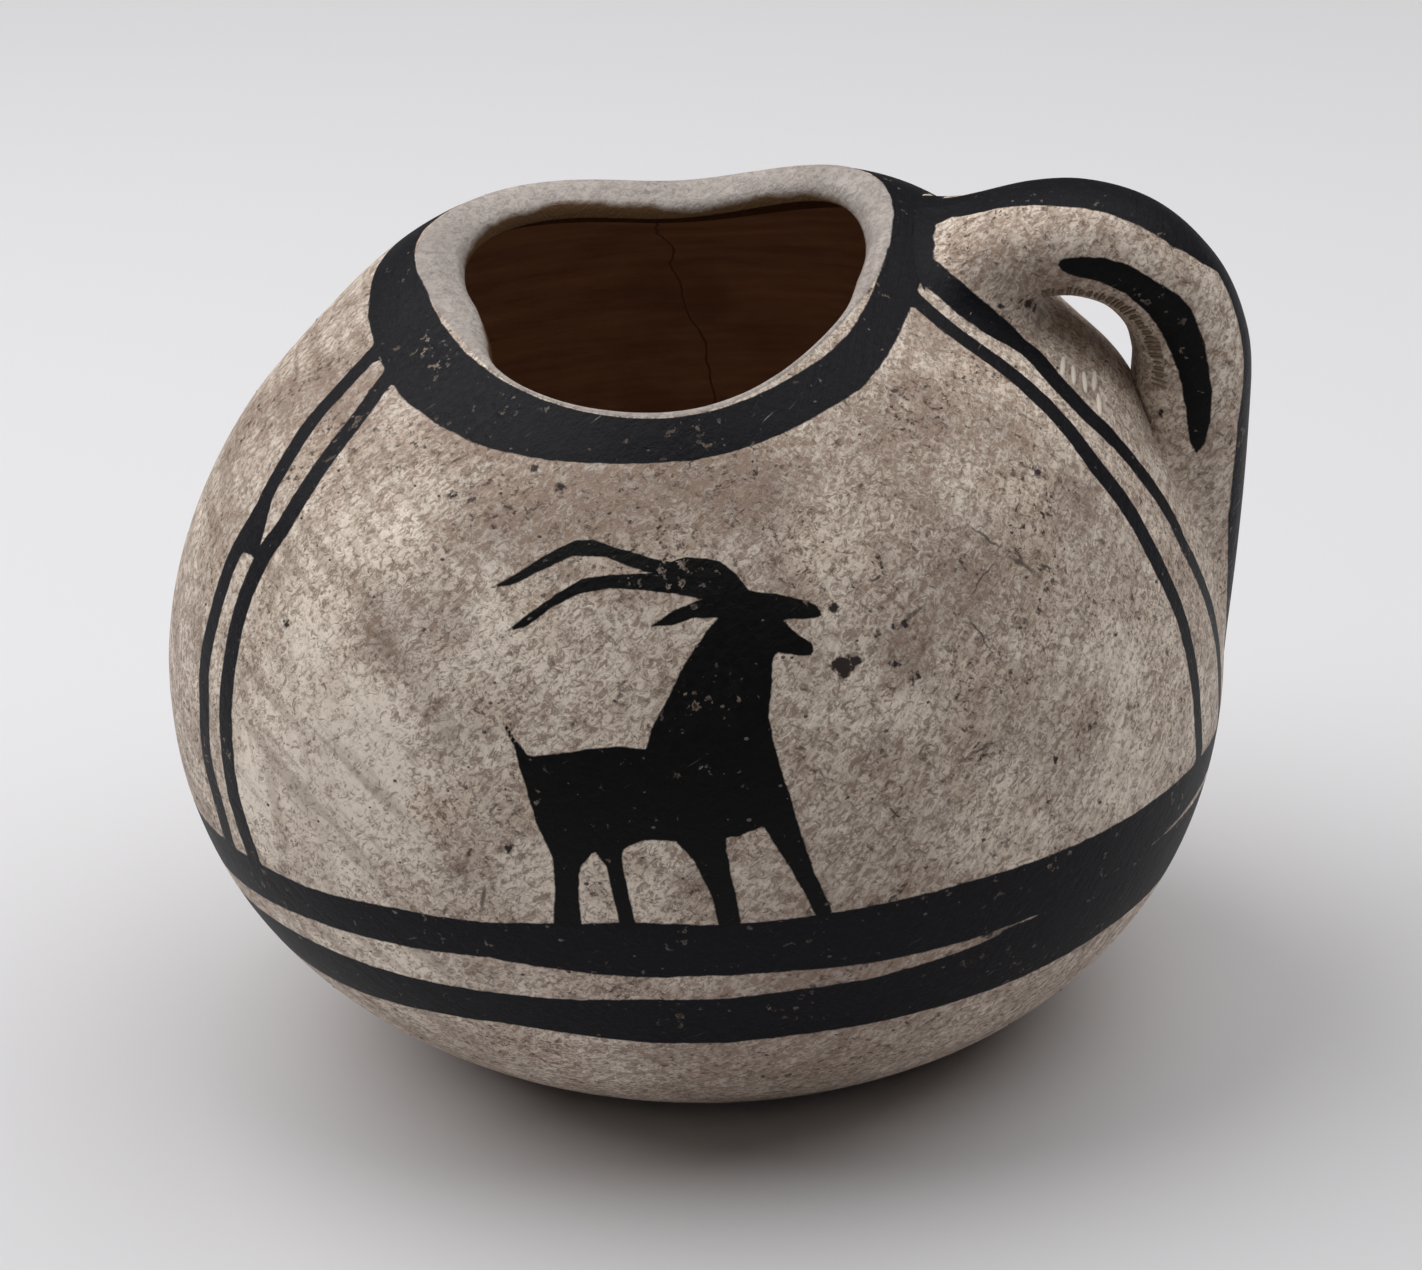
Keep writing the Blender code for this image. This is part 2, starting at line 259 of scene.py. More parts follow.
# %% The sheet of points, closest together where the goat is painted
def body_sheet(name, thetas, lengths):
    """Tube of points that know their angle, height, share of the foot and pressing, for nodes to place."""
    spread = np.array([share for share, _ in FOOT_RINGS] + [1.0] * len(lengths))
    levels = np.array([level for _, level in FOOT_RINGS] + np.interp(lengths, LENGTHS, LEVELS).tolist())
    climbs = np.array([0.0] * len(FOOT_RINGS) + list(lengths))
    theta = np.broadcast_to(thetas, (len(levels), len(thetas)))
    level = np.broadcast_to(levels[:, None], theta.shape)
    lip_edge = lip_line(theta)
    dip = np.clip((level - BELLY_HEIGHT) / (RIM_HEIGHT - BELLY_HEIGHT), 0.0, 1.0) ** 2
    height = level + dip * (lip_edge[..., 2] - RIM_HEIGHT)
    round_rim = radius_at(lip_edge[..., 2])
    plain = np.stack([round_rim * np.cos(theta) - BODY_LEAN, DEPTH_RATIO * round_rim * np.sin(theta),
                      lip_edge[..., 2]], axis=-1)
    press = smooth_step(1.0 - (WALL_LENGTH - climbs) / PRESSED_LENGTH)[:, None, None]
    inset = WALL + (FLOOR - WALL) * smooth_step((FLOOR_BLEND - level) / FLOOR_BLEND)
    numbers = {
        "theta": np.append(0.0, theta), "height": np.append(0.0, height),
        "spread": np.append(0.0, np.broadcast_to(spread[:, None], theta.shape)),
        "inset": np.append(FLOOR, inset),
    }
    off_angle = np.sin(theta / 2.0) / (0.5 * PAD_HALF_ANGLE)
    off_level = (level - PAD_LEVEL) / PAD_HALF_HEIGHT
    pad = np.exp(-off_angle ** 2 - off_level ** 2) * (np.cos(theta) > 0.0)
    pressing = press * (lip_edge - plain) + PAD_HEIGHT * pad[..., None] * PAD_WAY
    vectors = {"pressing": np.vstack([[0.0, 0.0, 0.0], pressing.reshape(-1, 3)])}
    flat = np.stack([theta * BELLY_RADIUS, np.zeros_like(theta), level], axis=-1).reshape(-1, 3)
    points = np.vstack([[0.0, 0.0, -1.0], flat])
    item = mesh_object(name, points, tube_faces(len(levels), len(thetas), True), numbers, vectors)
    return item, theta, np.broadcast_to(climbs[:, None], theta.shape)


GOAT_ANGLE = math.radians(-95.0)
GOAT_HALF_ANGLE = math.radians(24.0)
GOAT_LENGTH = 86.0
GOAT_HALF_LENGTH = 30.0
AROUND, UP_OUTSIDE, UP_INSIDE = 480, 190, 60
INSIDE_STEP = 4
LIP_DEPTH = 4.0
THETAS = crowded(
    -1.5 * math.pi, 0.5 * math.pi, AROUND, (GOAT_ANGLE, -2.0 * math.pi - GOAT_ANGLE, -GOAT_ANGLE),
    GOAT_HALF_ANGLE, 1.9, True)
outside_lengths = crowded(HEEL_LENGTH, WALL_LENGTH, UP_OUTSIDE, (GOAT_LENGTH,), GOAT_HALF_LENGTH, 1.1, False)
inside_lengths = np.linspace(HEEL_LENGTH, WALL_LENGTH - LIP_DEPTH, UP_INSIDE)
outside_sheet, wall_theta, wall_climb = body_sheet("slipped_wall", THETAS, outside_lengths)
inside_sheet, inside_theta, _ = body_sheet("inside_wall", THETAS[::INSIDE_STEP], inside_lengths)
print("sheet points:", len(outside_sheet.data.vertices), len(inside_sheet.data.vertices))


# %% Opening and closing a node tree
def open_tree(name, inputs):
    """Geometry Nodes tree with a mesh in and out and these inputs, each a name with its kind of socket."""
    tree = bpy.data.node_groups.new(name, "GeometryNodeTree")
    tree.interface.new_socket("Geometry", in_out="INPUT", socket_type="NodeSocketGeometry")
    for key, kind in inputs.items():
        tree.interface.new_socket(key, in_out="INPUT", socket_type="NodeSocket" + kind)
    tree.interface.new_socket("Geometry", in_out="OUTPUT", socket_type="NodeSocketGeometry")
    return tree, add(tree, "NodeGroupInput").outputs


def close_tree(tree, geometry, finish):
    """End a tree: instances made real, shaded smooth and given their finish."""
    real = add(tree, "GeometryNodeRealizeInstances", {"Geometry": geometry})
    smooth = add(tree, "GeometryNodeSetShadeSmooth", {"Geometry": real})
    coated = add(tree, "GeometryNodeSetMaterial", {"Geometry": smooth, "Material": finish})
    add(tree, "NodeGroupOutput", {0: coated})


print("trees take a mesh and named sizes, and give back a mesh with its finish")

# %% The tree that bends a sheet into the pot
SIZES = {
    "Belly radius": BELLY_RADIUS, "Depth ratio": DEPTH_RATIO, "Belly height": BELLY_HEIGHT,
    "Shoulder rise": SHOULDER_RISE, "Shoulder power": SHOULDER_POWER, "Belly drop": BELLY_DROP,
    "Belly power": BELLY_POWER, "Body lean": BODY_LEAN, "Lean height": LEAN_HEIGHT,
    "Unevenness": 0.35, "Patch size": 24.0,
}
STORED = "GeometryNodeInputNamedAttribute"
form, given = open_tree(
    "bend_sheet_into_pot", dict(dict.fromkeys(SIZES, "Float"), Inside="Bool", Finish="Material"))
sheet = {}
for key in ("theta", "height", "spread", "inset"):
    sheet[key] = add(form, STORED, {"Name": key}, data_type="FLOAT").outputs["Attribute"]
pressing = add(form, STORED, {"Name": "pressing"}, data_type="FLOAT_VECTOR")
print("the tree reads:", ", ".join(sheet), "and pressing")

# %% The radius: a superellipse arc above the belly times one below it
radius = given["Belly radius"]
for bigger, smaller, reach, power in (
        (sheet["height"], given["Belly height"], given["Shoulder rise"], given["Shoulder power"]),
        (given["Belly height"], sheet["height"], given["Belly drop"], given["Belly power"])):
    distance = add(form, MATH, {0: bigger, 1: smaller}, operation="SUBTRACT")
    share = add(form, MATH, {0: distance, 1: reach}, operation="DIVIDE", use_clamp=True)
    share = add(form, MATH, {0: share, 1: power}, operation="POWER")
    rest = add(form, MATH, {0: 1.0, 1: share}, operation="SUBTRACT", use_clamp=True)
    inverse = add(form, MATH, {0: 1.0, 1: power}, operation="DIVIDE")
    arc = add(form, MATH, {0: rest, 1: inverse}, operation="POWER")
    radius = add(form, MATH, {0: radius, 1: arc}, operation="MULTIPLY")
radius = add(form, MATH, {0: radius, 1: sheet["spread"]}, operation="MULTIPLY")
print("nodes up to the radius:", len(form.nodes))

# %% The lean and the place
# The body moves over by a parabola up to the lean height.
climbed = add(form, MATH, {0: sheet["height"], 1: given["Lean height"]}, operation="DIVIDE", use_clamp=True)
to_go = add(form, MATH, {0: 1.0, 1: climbed}, operation="SUBTRACT")
to_go = add(form, MATH, {0: to_go, 1: to_go}, operation="MULTIPLY")
moved = add(form, MATH, {0: to_go, 1: 1.0}, operation="SUBTRACT")
lean = add(form, MATH, {0: moved, 1: given["Body lean"]}, operation="MULTIPLY")
# Each point goes round the ring, is pressed, and turns from millimetres to metres.
cosine = add(form, MATH, {0: sheet["theta"]}, operation="COSINE")
sine = add(form, MATH, {0: sheet["theta"]}, operation="SINE")
across = add(form, MATH, {0: radius, 1: cosine, 2: lean}, operation="MULTIPLY_ADD")
deep = add(form, MATH, {0: radius, 1: sine}, operation="MULTIPLY")
deep = add(form, MATH, {0: deep, 1: given["Depth ratio"]}, operation="MULTIPLY")
ring = add(form, "ShaderNodeCombineXYZ", {0: across, 1: deep, 2: sheet["height"]})
pressed = add(form, VECTOR_MATH, {0: ring, 1: pressing.outputs["Attribute"]}, operation="ADD")
place = add(form, VECTOR_MATH, {0: pressed, "Scale": MM}, operation="SCALE")
bent = add(form, "GeometryNodeSetPosition", {"Geometry": given["Geometry"], "Position": place})
print("nodes up to the place:", len(form.nodes))

# %% Along the normal: soft unevenness, and the inside set in by the wall
# The unevenness fades out at the foot.
per_patch = add(form, MATH, {0: 1.0 / MM, 1: given["Patch size"]}, operation="DIVIDE")
patches = add(form, NOISE, {
    "Vector": add(form, "GeometryNodeInputPosition"), "Scale": per_patch, "Detail": 1.0})
centred = add(form, MATH, {0: patches, 1: 0.5}, operation="SUBTRACT")
off_foot = add(form, MATH, {0: sheet["height"], 1: FLOOR_BLEND}, operation="DIVIDE", use_clamp=True)
uneven = add(form, MATH, {0: centred, 1: given["Unevenness"]}, operation="MULTIPLY")
uneven = add(form, MATH, {0: uneven, 1: off_foot}, operation="MULTIPLY")
set_in = add(form, MATH, {0: sheet["inset"], 1: given["Inside"]}, operation="MULTIPLY")
outward = add(form, MATH, {0: uneven, 1: set_in}, operation="SUBTRACT")
outward = add(form, MATH, {0: outward, 1: MM}, operation="MULTIPLY")
normal = add(form, "GeometryNodeInputNormal")
offset = add(form, VECTOR_MATH, {0: normal, "Scale": outward}, operation="SCALE")
shaped = add(form, "GeometryNodeSetPosition", {"Geometry": bent, "Offset": offset})
turned = add(form, "GeometryNodeFlipFaces", {"Mesh": shaped, "Selection": given["Inside"]})
close_tree(form, turned, given["Finish"])
print("nodes in the tree:", len(form.nodes))


# %% Run the tree and keep plain meshes
def settle(item, tree, values):
    """Give an object a node tree with these inputs, and replace its mesh by what the tree makes."""
    modifier = item.modifiers.new(tree.name, "NODES")
    modifier.node_group = tree
    sockets = {s.name: s.identifier for s in tree.interface.items_tree if s.in_out == "INPUT"}
    for key, value in values.items():
        modifier[sockets[key]] = value
    graph = bpy.context.evaluated_depsgraph_get()
    made = bpy.data.meshes.new_from_object(item.evaluated_get(graph))
    made.name = item.name
    item.modifiers.clear()
    item.data = made
    return item


def points_of(item):
    """Points of a mesh object, in millimetres."""
    flat = np.empty(len(item.data.vertices) * 3, dtype=np.float32)
    item.data.vertices.foreach_get("co", flat)
    return flat.reshape(-1, 3).astype(float) / MM


# Pale clay brushed on, polished with a pebble and painted with plant juice; and clay only wiped and fired.
slip = bpy.data.materials.new("burnished_slip_with_carbon_paint")
raw_clay = bpy.data.materials.new("unslipped_fired_clay")
slipped_wall = settle(outside_sheet, form, dict(SIZES, Inside=False, Finish=slip))
inside_wall = settle(inside_sheet, form, dict(SIZES, Inside=True, Finish=raw_clay))
outer_grid = points_of(slipped_wall)[1:].reshape(wall_theta.shape + (3,))
inner_grid = points_of(inside_wall)[1:].reshape(inside_theta.shape + (3,))
print("belly, mm:", np.ptp(outer_grid[..., 0]).round(1), "x", np.ptp(outer_grid[..., 1]).round(1))

# %% [markdown]
# ## The lip
# The lip is the wiped top of the last coil: it rounds over the edge of the wall, slopes a little down into
# the mouth and turns under. It is broad at the back and at both sides, and was wiped thin where the front
# bends away to the left and to the right. At each angle a smooth profile of that width is carried inwards
# from the edge, square to the lip, and its end is led back to the inside wall, so there is no crack between
# the pieces.

# %% A smooth curve through points
SPAN_STEPS = 24


def catmull(points, count):
    """Smooth, evenly spaced curve through points."""
    points = np.array(points, dtype=float)
    padded = np.vstack([2 * points[0] - points[1], points, 2 * points[-1] - points[-2]])
    curve = []
    for index in range(len(points) - 1):
        p0, p1, p2, p3 = padded[index:index + 4]
        for t in np.linspace(0.0, 1.0, SPAN_STEPS, endpoint=False):
            bend = (2 * p0 - 5 * p1 + 4 * p2 - p3) * t ** 2 + (3 * p1 - p0 - 3 * p2 + p3) * t ** 3
            curve.append(0.5 * (2 * p1 + (p2 - p0) * t + bend))
    curve = np.array(curve + [points[-1]])
    length = np.append(0.0, np.cumsum(np.linalg.norm(np.diff(curve, axis=0), axis=1)))
    even = np.linspace(0.0, length[-1], count)
    return np.stack([np.interp(even, length, curve[:, axis]) for axis in range(points.shape[1])], axis=1)


print("curve through three points:", catmull([(0.0, 0.0), (1.0, 1.0), (2.0, 0.0)], 5).round(2).tolist())

# %% The width and the profile of the lip
# Degrees round the pot, then millimetres from the edge to where the top of the lip turns down.
LIP_TOP = [
    (-270, 4.5), (-180, 5.2), (-172, 4.6), (-166, 3.9), (-160, 2.9), (-154, 1.9), (-149, 1.3), (-144, 1.0),
    (-135, 0.8), (-126, 0.8), (-118, 0.9), (-110, 1.2), (-104, 1.9), (-97, 2.6), (-89, 2.6), (-80, 2.0),
    (-69, 1.2), (-60, 0.9), (-50, 0.8), (-42, 0.8), (-32, 0.9), (-26, 1.1), (-20, 1.5), (-13, 2.1),
    (-6, 2.6), (8, 2.8), (25, 3.4), (50, 4.0), (90, 4.5),
]
# Share of that width, millimetres beyond it, and height over the edge on a wide and on a narrow lip.
LIP_PROFILE = [
    (0.0, 0.0, 0.0, 0.0), (0.16, 0.0, 0.30, 0.18), (0.44, 0.0, 0.12, 0.20), (0.72, 0.0, -0.45, 0.08),
    (0.94, 0.12, -1.05, -0.25), (1.0, 0.45, -1.7, -1.1), (1.0, 0.8, -2.5, -2.2), (1.0, 1.0, -3.3, -3.4),
]
LIP_ROWS = 22
WIDE_LIP = 4.0
NARROW_LIP = 1.0
# Shares of the way from the end of the profile to the inside wall.
LIP_CLOSING = (0.35, 0.7, 1.0)
print("lip, mm:", min(width for _, width in LIP_TOP), "to", max(width for _, width in LIP_TOP), "wide")

# %% Loft the lip
edge = outer_grid[-1]
tangent = np.roll(edge, -1, axis=0) - np.roll(edge, 1, axis=0)
inwards = np.stack([-tangent[:, 1], tangent[:, 0], np.zeros(len(edge))], axis=1)
inwards /= np.linalg.norm(inwards, axis=1)[:, None]
lip_top = np.interp(np.degrees(THETAS), *np.array(LIP_TOP).T)
narrow = smooth_step((WIDE_LIP - lip_top) / (WIDE_LIP - NARROW_LIP))
inner_rim = np.empty_like(edge)
for axis in range(3):
    closed = np.append(inner_grid[-1][:, axis], inner_grid[-1][0, axis])
    inner_rim[:, axis] = np.interp(np.arange(len(THETAS)) / INSIDE_STEP, np.arange(len(closed)), closed)
lip_rings = []
for share, beyond, wide_drop, narrow_drop in catmull(LIP_PROFILE, LIP_ROWS):
    inward = (share * lip_top + beyond)[:, None] * inwards
    drop = wide_drop + (narrow_drop - wide_drop) * narrow
    lip_rings.append(edge + inward + np.outer(drop, [0.0, 0.0, 1.0]))
lip_rings += [lip_rings[-1] + (inner_rim - lip_rings[-1]) * s for s in LIP_CLOSING]
lip_steps = np.linalg.norm(np.diff(np.array(lip_rings), axis=0), axis=2)
lip_across = np.vstack([np.zeros(len(THETAS)), np.cumsum(lip_steps, axis=0)])
lip_points = np.vstack(lip_rings)
lip = mesh_object("lip", lip_points, tube_faces(len(lip_rings), len(THETAS), False))
lip.data.shade_smooth()
lip.data.materials.append(slip)
print("lip ring, mm:", np.ptp(edge[:, 0]).round(1), "x", np.ptp(edge[:, 1]).round(1))

# %% [markdown]
# ## The handle
# The handle is a strap that leaves the rim, arches out and comes down on the belly, with wet clay smoothed
# round both roots so that it flows into the wall. A sweep with a boolean would leave a hard crease there.
# So the strap is a sweep only in the middle, and each root is a family of curves that leave the strap along
# its run and land on the wall along the wall's own surface.

# %% The run of the strap
# Middle of the strap, in millimetres out from the axis and up.
HANDLE_PATH = [
    (29.0, 104.1), (36.0, 105.4), (43.0, 106.2), (49.9, 106.1), (56.6, 103.4), (61.6, 97.8),
    (63.7, 91.5), (63.8, 86.0), (63.1, 80.5), (62.2, 75.0), (61.3, 69.0), (60.5, 63.0),
]
PATH_STEPS = 160
# Steps of the path where the plain strap starts and ends, and its thickness there and between.
FIRST, LAST = 36, 106
STRAP_THICKNESS = [(FIRST, 14.0), (75, 14.4), (LAST, 15.6)]
STRAP_WIDTH = 20.0
STRAP_POWER = 2.1
AROUND_STRAP = 128

run = catmull(HANDLE_PATH, PATH_STEPS)
ahead = np.gradient(run, axis=0)
ahead /= np.linalg.norm(ahead, axis=1)[:, None]
spin = np.linspace(0.0, 2.0 * math.pi, AROUND_STRAP, endpoint=False)
side = np.sign(np.cos(spin)) * np.abs(np.cos(spin)) ** (2.0 / STRAP_POWER)
rise = np.sign(np.sin(spin)) * np.abs(np.sin(spin)) ** (2.0 / STRAP_POWER)


def strap_ring(index):
    """One section of the strap, in millimetres."""
    out = 0.5 * np.interp(index, *np.array(STRAP_THICKNESS).T) * rise
    x = run[index, 0] - ahead[index, 1] * out
    z = run[index, 1] + ahead[index, 0] * out
    return np.stack([x, 0.5 * STRAP_WIDTH * side, z], axis=1)


print("strap, mm:", STRAP_WIDTH, "wide, in", LAST - FIRST + 1, "sections")

# %% Roots that land on the wall
# Shares of the gap that a root runs on from the strap and along the wall, and how deep it ends in the clay.
RUN_ON, RUN_OUT = 0.42, 0.36
ROOT_SINK = 0.25
wall_tree = BVHTree.FromObject(slipped_wall, bpy.context.evaluated_depsgraph_get())


def on_wall(points, sink=0.0):
    """Nearest points of the wall, pushed a little into the clay, and the wall's normals there."""
    found = [wall_tree.find_nearest(Vector(point) * MM) for point in points]
    normals = np.array([hit[1] for hit in found])
    return np.array([hit[0] for hit in found]) / MM - sink * normals, normals


def bend_across(start, leave, arrive, end, share):
    """Cubic curve from start to end that leaves along one direction and arrives along another."""
    s = share
    return ((1 - s) ** 3 * start + 3 * (1 - s) ** 2 * s * (start + leave)
            + 3 * (1 - s) * s ** 2 * (end - arrive) + s ** 3 * end)


def root(ring, run_on, centre, up_wall, reach, steps):
    """Rings from a strap section to its footprint on the wall.

    reach gives the footprint's half-width and its extents on the strap's outer and inner side.
    """
    tall = np.where(rise > 0.0, reach[1], reach[2])
    flat = centre + np.outer(reach[0] * side, [0.0, 1.0, 0.0]) + np.outer(tall * rise, up_wall)
    foot, normal = on_wall(flat, ROOT_SINK)
    outward = flat - centre
    outward -= (outward * normal).sum(axis=1)[:, None] * normal
    outward /= np.linalg.norm(outward, axis=1)[:, None]
    gap = np.linalg.norm(foot - ring, axis=1)[:, None]
    return [bend_across(ring, RUN_ON * gap * run_on, RUN_OUT * gap * outward, foot, s)
            for s in np.linspace(0.0, 1.0, steps)[1:]]


print("wall under the handle, mm:", on_wall([(80.0, 0.0, 65.0)])[0].round(1).tolist())

# %% Loft the handle
# Centre on the wall, the way that the strap's outer side points there, reach of the footprint, and steps.
UPPER_ROOT = np.array([33.5, 0.0, 104.1]), np.array([-0.85, 0.0, 0.52]), (17.0, 8.5, 17.0), 56
LOWER_ROOT = np.array([65.6, 0.0, 65.0]), np.array([0.17, 0.0, -0.985]), (15.0, 25.0, 23.0), 60
upper_rings = root(strap_ring(FIRST), np.array([-ahead[FIRST, 0], 0.0, -ahead[FIRST, 1]]), *UPPER_ROOT)
lower_rings = root(strap_ring(LAST), np.array([ahead[LAST, 0], 0.0, ahead[LAST, 1]]), *LOWER_ROOT)
rings = upper_rings[::-1] + [strap_ring(i) for i in range(FIRST, LAST + 1)] + lower_rings
handle_points = np.vstack(rings)
handle = mesh_object("handle", handle_points, tube_faces(len(rings), AROUND_STRAP, False))
handle.data.shade_smooth()
handle.data.materials.append(slip)
print("handle reaches, mm:", handle_points.max(axis=0).round(1).tolist())

# %% [markdown]
# ## Where the paint goes
# A chewed leaf brush lays each mark in a few pulls: a band under the lip, two bands round the belly that the
# goat stands on, pairs of lines that frame each panel, the goat itself, a stripe down the back of the handle
# and a crescent on each of its sides. An image could carry this, but it would blur close up. So every point
# of the mesh stores how many millimetres it lies inside the nearest mark, and the finish draws the edge where
# this number passes zero. The edge stays sharp between the points, and its wobble can be given in
# millimetres. The far side, which can't be seen, repeats the front.

# %% Bands, as tables round the pot
# Degrees round the pot, then millimetres below the lip edge: the top and the foot of the rim band.
RIM_BAND = [
    (-270, 0.6, 7.0), (-230, 0.8, 7.5), (-209, 0.8, 7.8), (-196, 0.1, 8.2), (-185, -0.2, 9.5),
    (-170, 0.8, 10.7), (-156, 1.0, 11.7), (-143, 0.4, 11.7), (-128, 0.2, 12.0), (-115, 0.2, 11.5),
    (-104, 0.2, 10.7), (-95, 0.2, 10.2), (-86, 0.3, 10.2), (-74, 0.5, 9.7), (-60, 1.2, 9.2),
    (-49, 2.0, 9.2), (-37, 2.0, 8.0), (-20, 0.8, 6.2), (-5, -0.1, 5.2), (10, -0.4, 5.5),
    (20, -0.3, 6.0), (40, 0.4, 6.5), (70, 0.6, 6.8), (90, 0.6, 7.0),
]
# Degrees from the back left round the front to the handle, then heights: top and foot of the upper band, top
# and foot of the lower band. The two run together towards the handle.
BASE_BANDS = [
    (-180, 39.2, 31.8, 28.6, 23.6), (-165, 39.7, 32.3, 28.8, 23.6), (-150, 40.6, 34.1, 30.5, 22.6),
    (-137, 41.1, 35.6, 30.8, 23.2), (-125, 42.2, 36.3, 30.9, 24.7), (-114, 42.6, 37.1, 31.2, 25.4),
    (-106, 43.6, 36.3, 31.4, 24.6), (-98, 44.1, 35.5, 31.9, 23.6), (-90, 43.4, 35.5, 31.6, 23.3),
    (-82, 43.3, 35.2, 32.0, 23.6), (-73, 43.4, 34.4, 31.9, 23.5), (-63, 43.6, 34.3, 32.7, 23.5),
    (-53, 43.3, 34.5, 34.5, 23.7), (-38, 43.0, 35.7, 35.7, 24.6), (-30, 42.8, 35.9, 35.4, 24.3),
    (-22, 42.2, 36.1, 35.0, 24.0), (-10, 41.4, 36.3, 34.9, 23.8), (0, 41.2, 36.3, 34.9, 23.8),
]


def columns_at(table, degrees):
    """Columns of a table, read at these angles."""
    table = np.array(table)
    return [np.interp(degrees, table[:, 0], table[:, i]) for i in range(1, table.shape[1])]


def folded(theta):
    """Angle in degrees with the far side folded onto the front."""
    return -np.abs((np.degrees(theta) + 180.0) % 360.0 - 180.0)


def band_depth(theta, drop, height):
    """Millimetres inside the rim band or the base bands; drop is the way down from the lip edge."""
    top, foot = columns_at(RIM_BAND, (np.degrees(theta) + 270.0) % 360.0 - 270.0)
    a, b, c, d = columns_at(BASE_BANDS, folded(theta))
    slant = np.interp(height, LEVELS, np.gradient(LENGTHS, LEVELS))
    upper = np.minimum(a - height, height - b) * slant
    lower = np.minimum(c - height, height - d) * slant
    return np.max([np.minimum(drop - top, foot - drop), upper, lower], axis=0)


print("rim band at the front, mm:", [float(v[0]) for v in columns_at(RIM_BAND, np.array([-90.0]))])

# %% Lines that frame the panels, as brush strokes on the wall
# Each stroke is a path in millimetres with the width of the brush at its start, middle and end.
STROKES = [
    ([(-38.0, -9.0, 102.6), (-41.9, -10.4, 99.4), (-45.8, -12.7, 96.3), (-49.8, -15.4, 93.0),
      (-53.4, -19.4, 89.0), (-56.4, -22.0, 84.7), (-57.7, -22.4, 82.7), (-60.8, -22.5, 77.6),
      (-63.6, -23.7, 70.8), (-65.4, -24.4, 64.7), (-65.9, -26.0, 59.0), (-66.1, -26.9, 51.9),
      (-65.0, -28.6, 46.0), (-63.9, -28.8, 39.5)], (2.9, 3.2, 3.3)),
    ([(-36.5, -13.5, 101.6), (-40.1, -16.8, 98.4), (-43.6, -20.6, 95.2), (-48.2, -24.5, 90.8),
      (-51.8, -27.2, 86.5), (-53.9, -28.0, 83.5), (-56.1, -27.8, 80.7), (-59.6, -28.6, 73.9),
      (-61.6, -30.0, 67.2), (-62.7, -31.1, 61.2), (-62.9, -32.3, 55.3), (-62.6, -33.1, 49.2),
      (-61.2, -34.3, 43.2), (-60.6, -34.5, 40.0)], (2.9, 3.3, 3.4)),
    ([(-58.9, -23.5, 80.0), (-57.9, -25.2, 80.3), (-56.8, -27.0, 80.2)], (2.0, 1.5, 1.9)),
    ([(-55.4, -22.6, 85.8), (-56.7, -24.2, 83.2), (-57.6, -25.4, 80.8)], (1.0, 2.2, 2.6)),
    ([(27.3, -13.1, 104.6), (28.9, -14.3, 103.2), (33.5, -16.9, 99.8), (39.4, -19.3, 95.6),
      (44.8, -22.7, 90.7), (48.6, -25.5, 85.7), (52.7, -26.0, 79.6), (56.3, -26.8, 72.1),
      (59.4, -26.5, 63.9), (60.7, -26.5, 57.2), (61.4, -25.9, 49.0), (61.8, -24.3, 43.0)], (2.7, 3.2, 2.6)),
    ([(29.4, -8.4, 106.2), (31.2, -10.2, 104.9), (34.0, -12.0, 102.7), (37.1, -12.5, 100.0),
      (39.8, -12.5, 97.5), (42.4, -13.4, 95.6), (44.6, -15.8, 93.2), (47.1, -17.6, 90.9),
      (49.2, -18.7, 88.5), (51.5, -18.9, 86.2)], (3.8, 3.5, 3.4)),
    ([(51.5, -18.9, 86.2), (55.2, -18.7, 81.0), (59.1, -18.3, 74.2), (60.8, -18.5, 69.9),
      (64.0, -16.5, 60.9), (65.2, -15.3, 54.1), (65.6, -14.1, 48.0), (65.8, -12.0, 42.0)], (3.0, 2.9, 2.6)),
]
STROKE_STEPS = 30
BACK_TURN = math.radians(-14.0)
# A mark further off than this doesn't count, in millimetres.
FAR = 4.0


def stroke_depth(points, path, widths):
    """Millimetres inside a brush stroke: half its width there, less the distance to its path."""
    path = catmull(path, STROKE_STEPS)
    width = np.interp(np.linspace(0.0, 1.0, STROKE_STEPS), (0.0, 0.5, 1.0), widths)
    low, high = path.min(axis=0) - FAR, path.max(axis=0) + FAR
    near = np.all((points > low) & (points < high), axis=1)
    depth = np.full(len(points), -FAR)
    for start, end, w0, w1 in zip(path[:-1], path[1:], width[:-1], width[1:]):
        step = end - start
        share = np.clip((points[near] - start) @ step / (step @ step), 0.0, 1.0)
        gap = np.linalg.norm(points[near] - start - share[:, None] * step, axis=1)
        depth[near] = np.maximum(depth[near], 0.5 * (w0 + (w1 - w0) * share) - gap)
    return depth


def back_stroke(path):
    """The same stroke on the far side, turned a little so that the back panel is narrower."""
    path = np.array(path) * (1.0, -1.0, 1.0)
    turn = np.where(path[:, 0] < 0.0, BACK_TURN, 0.0)
    x = np.cos(turn) * path[:, 0] - np.sin(turn) * path[:, 1]
    y = np.sin(turn) * path[:, 0] + np.cos(turn) * path[:, 1]
    return on_wall(np.stack([x, y, path[:, 2]], axis=1))[0]


def lines_depth(points):
    """Millimetres inside the nearest frame line, front or back."""
    depth = np.full(len(points), -FAR)
    for path, widths in STROKES:
        depth = np.maximum(depth, stroke_depth(points, path, widths))
        depth = np.maximum(depth, stroke_depth(points, back_stroke(path), widths))
    return depth


print("frame lines:", len(STROKES), "strokes on the front")

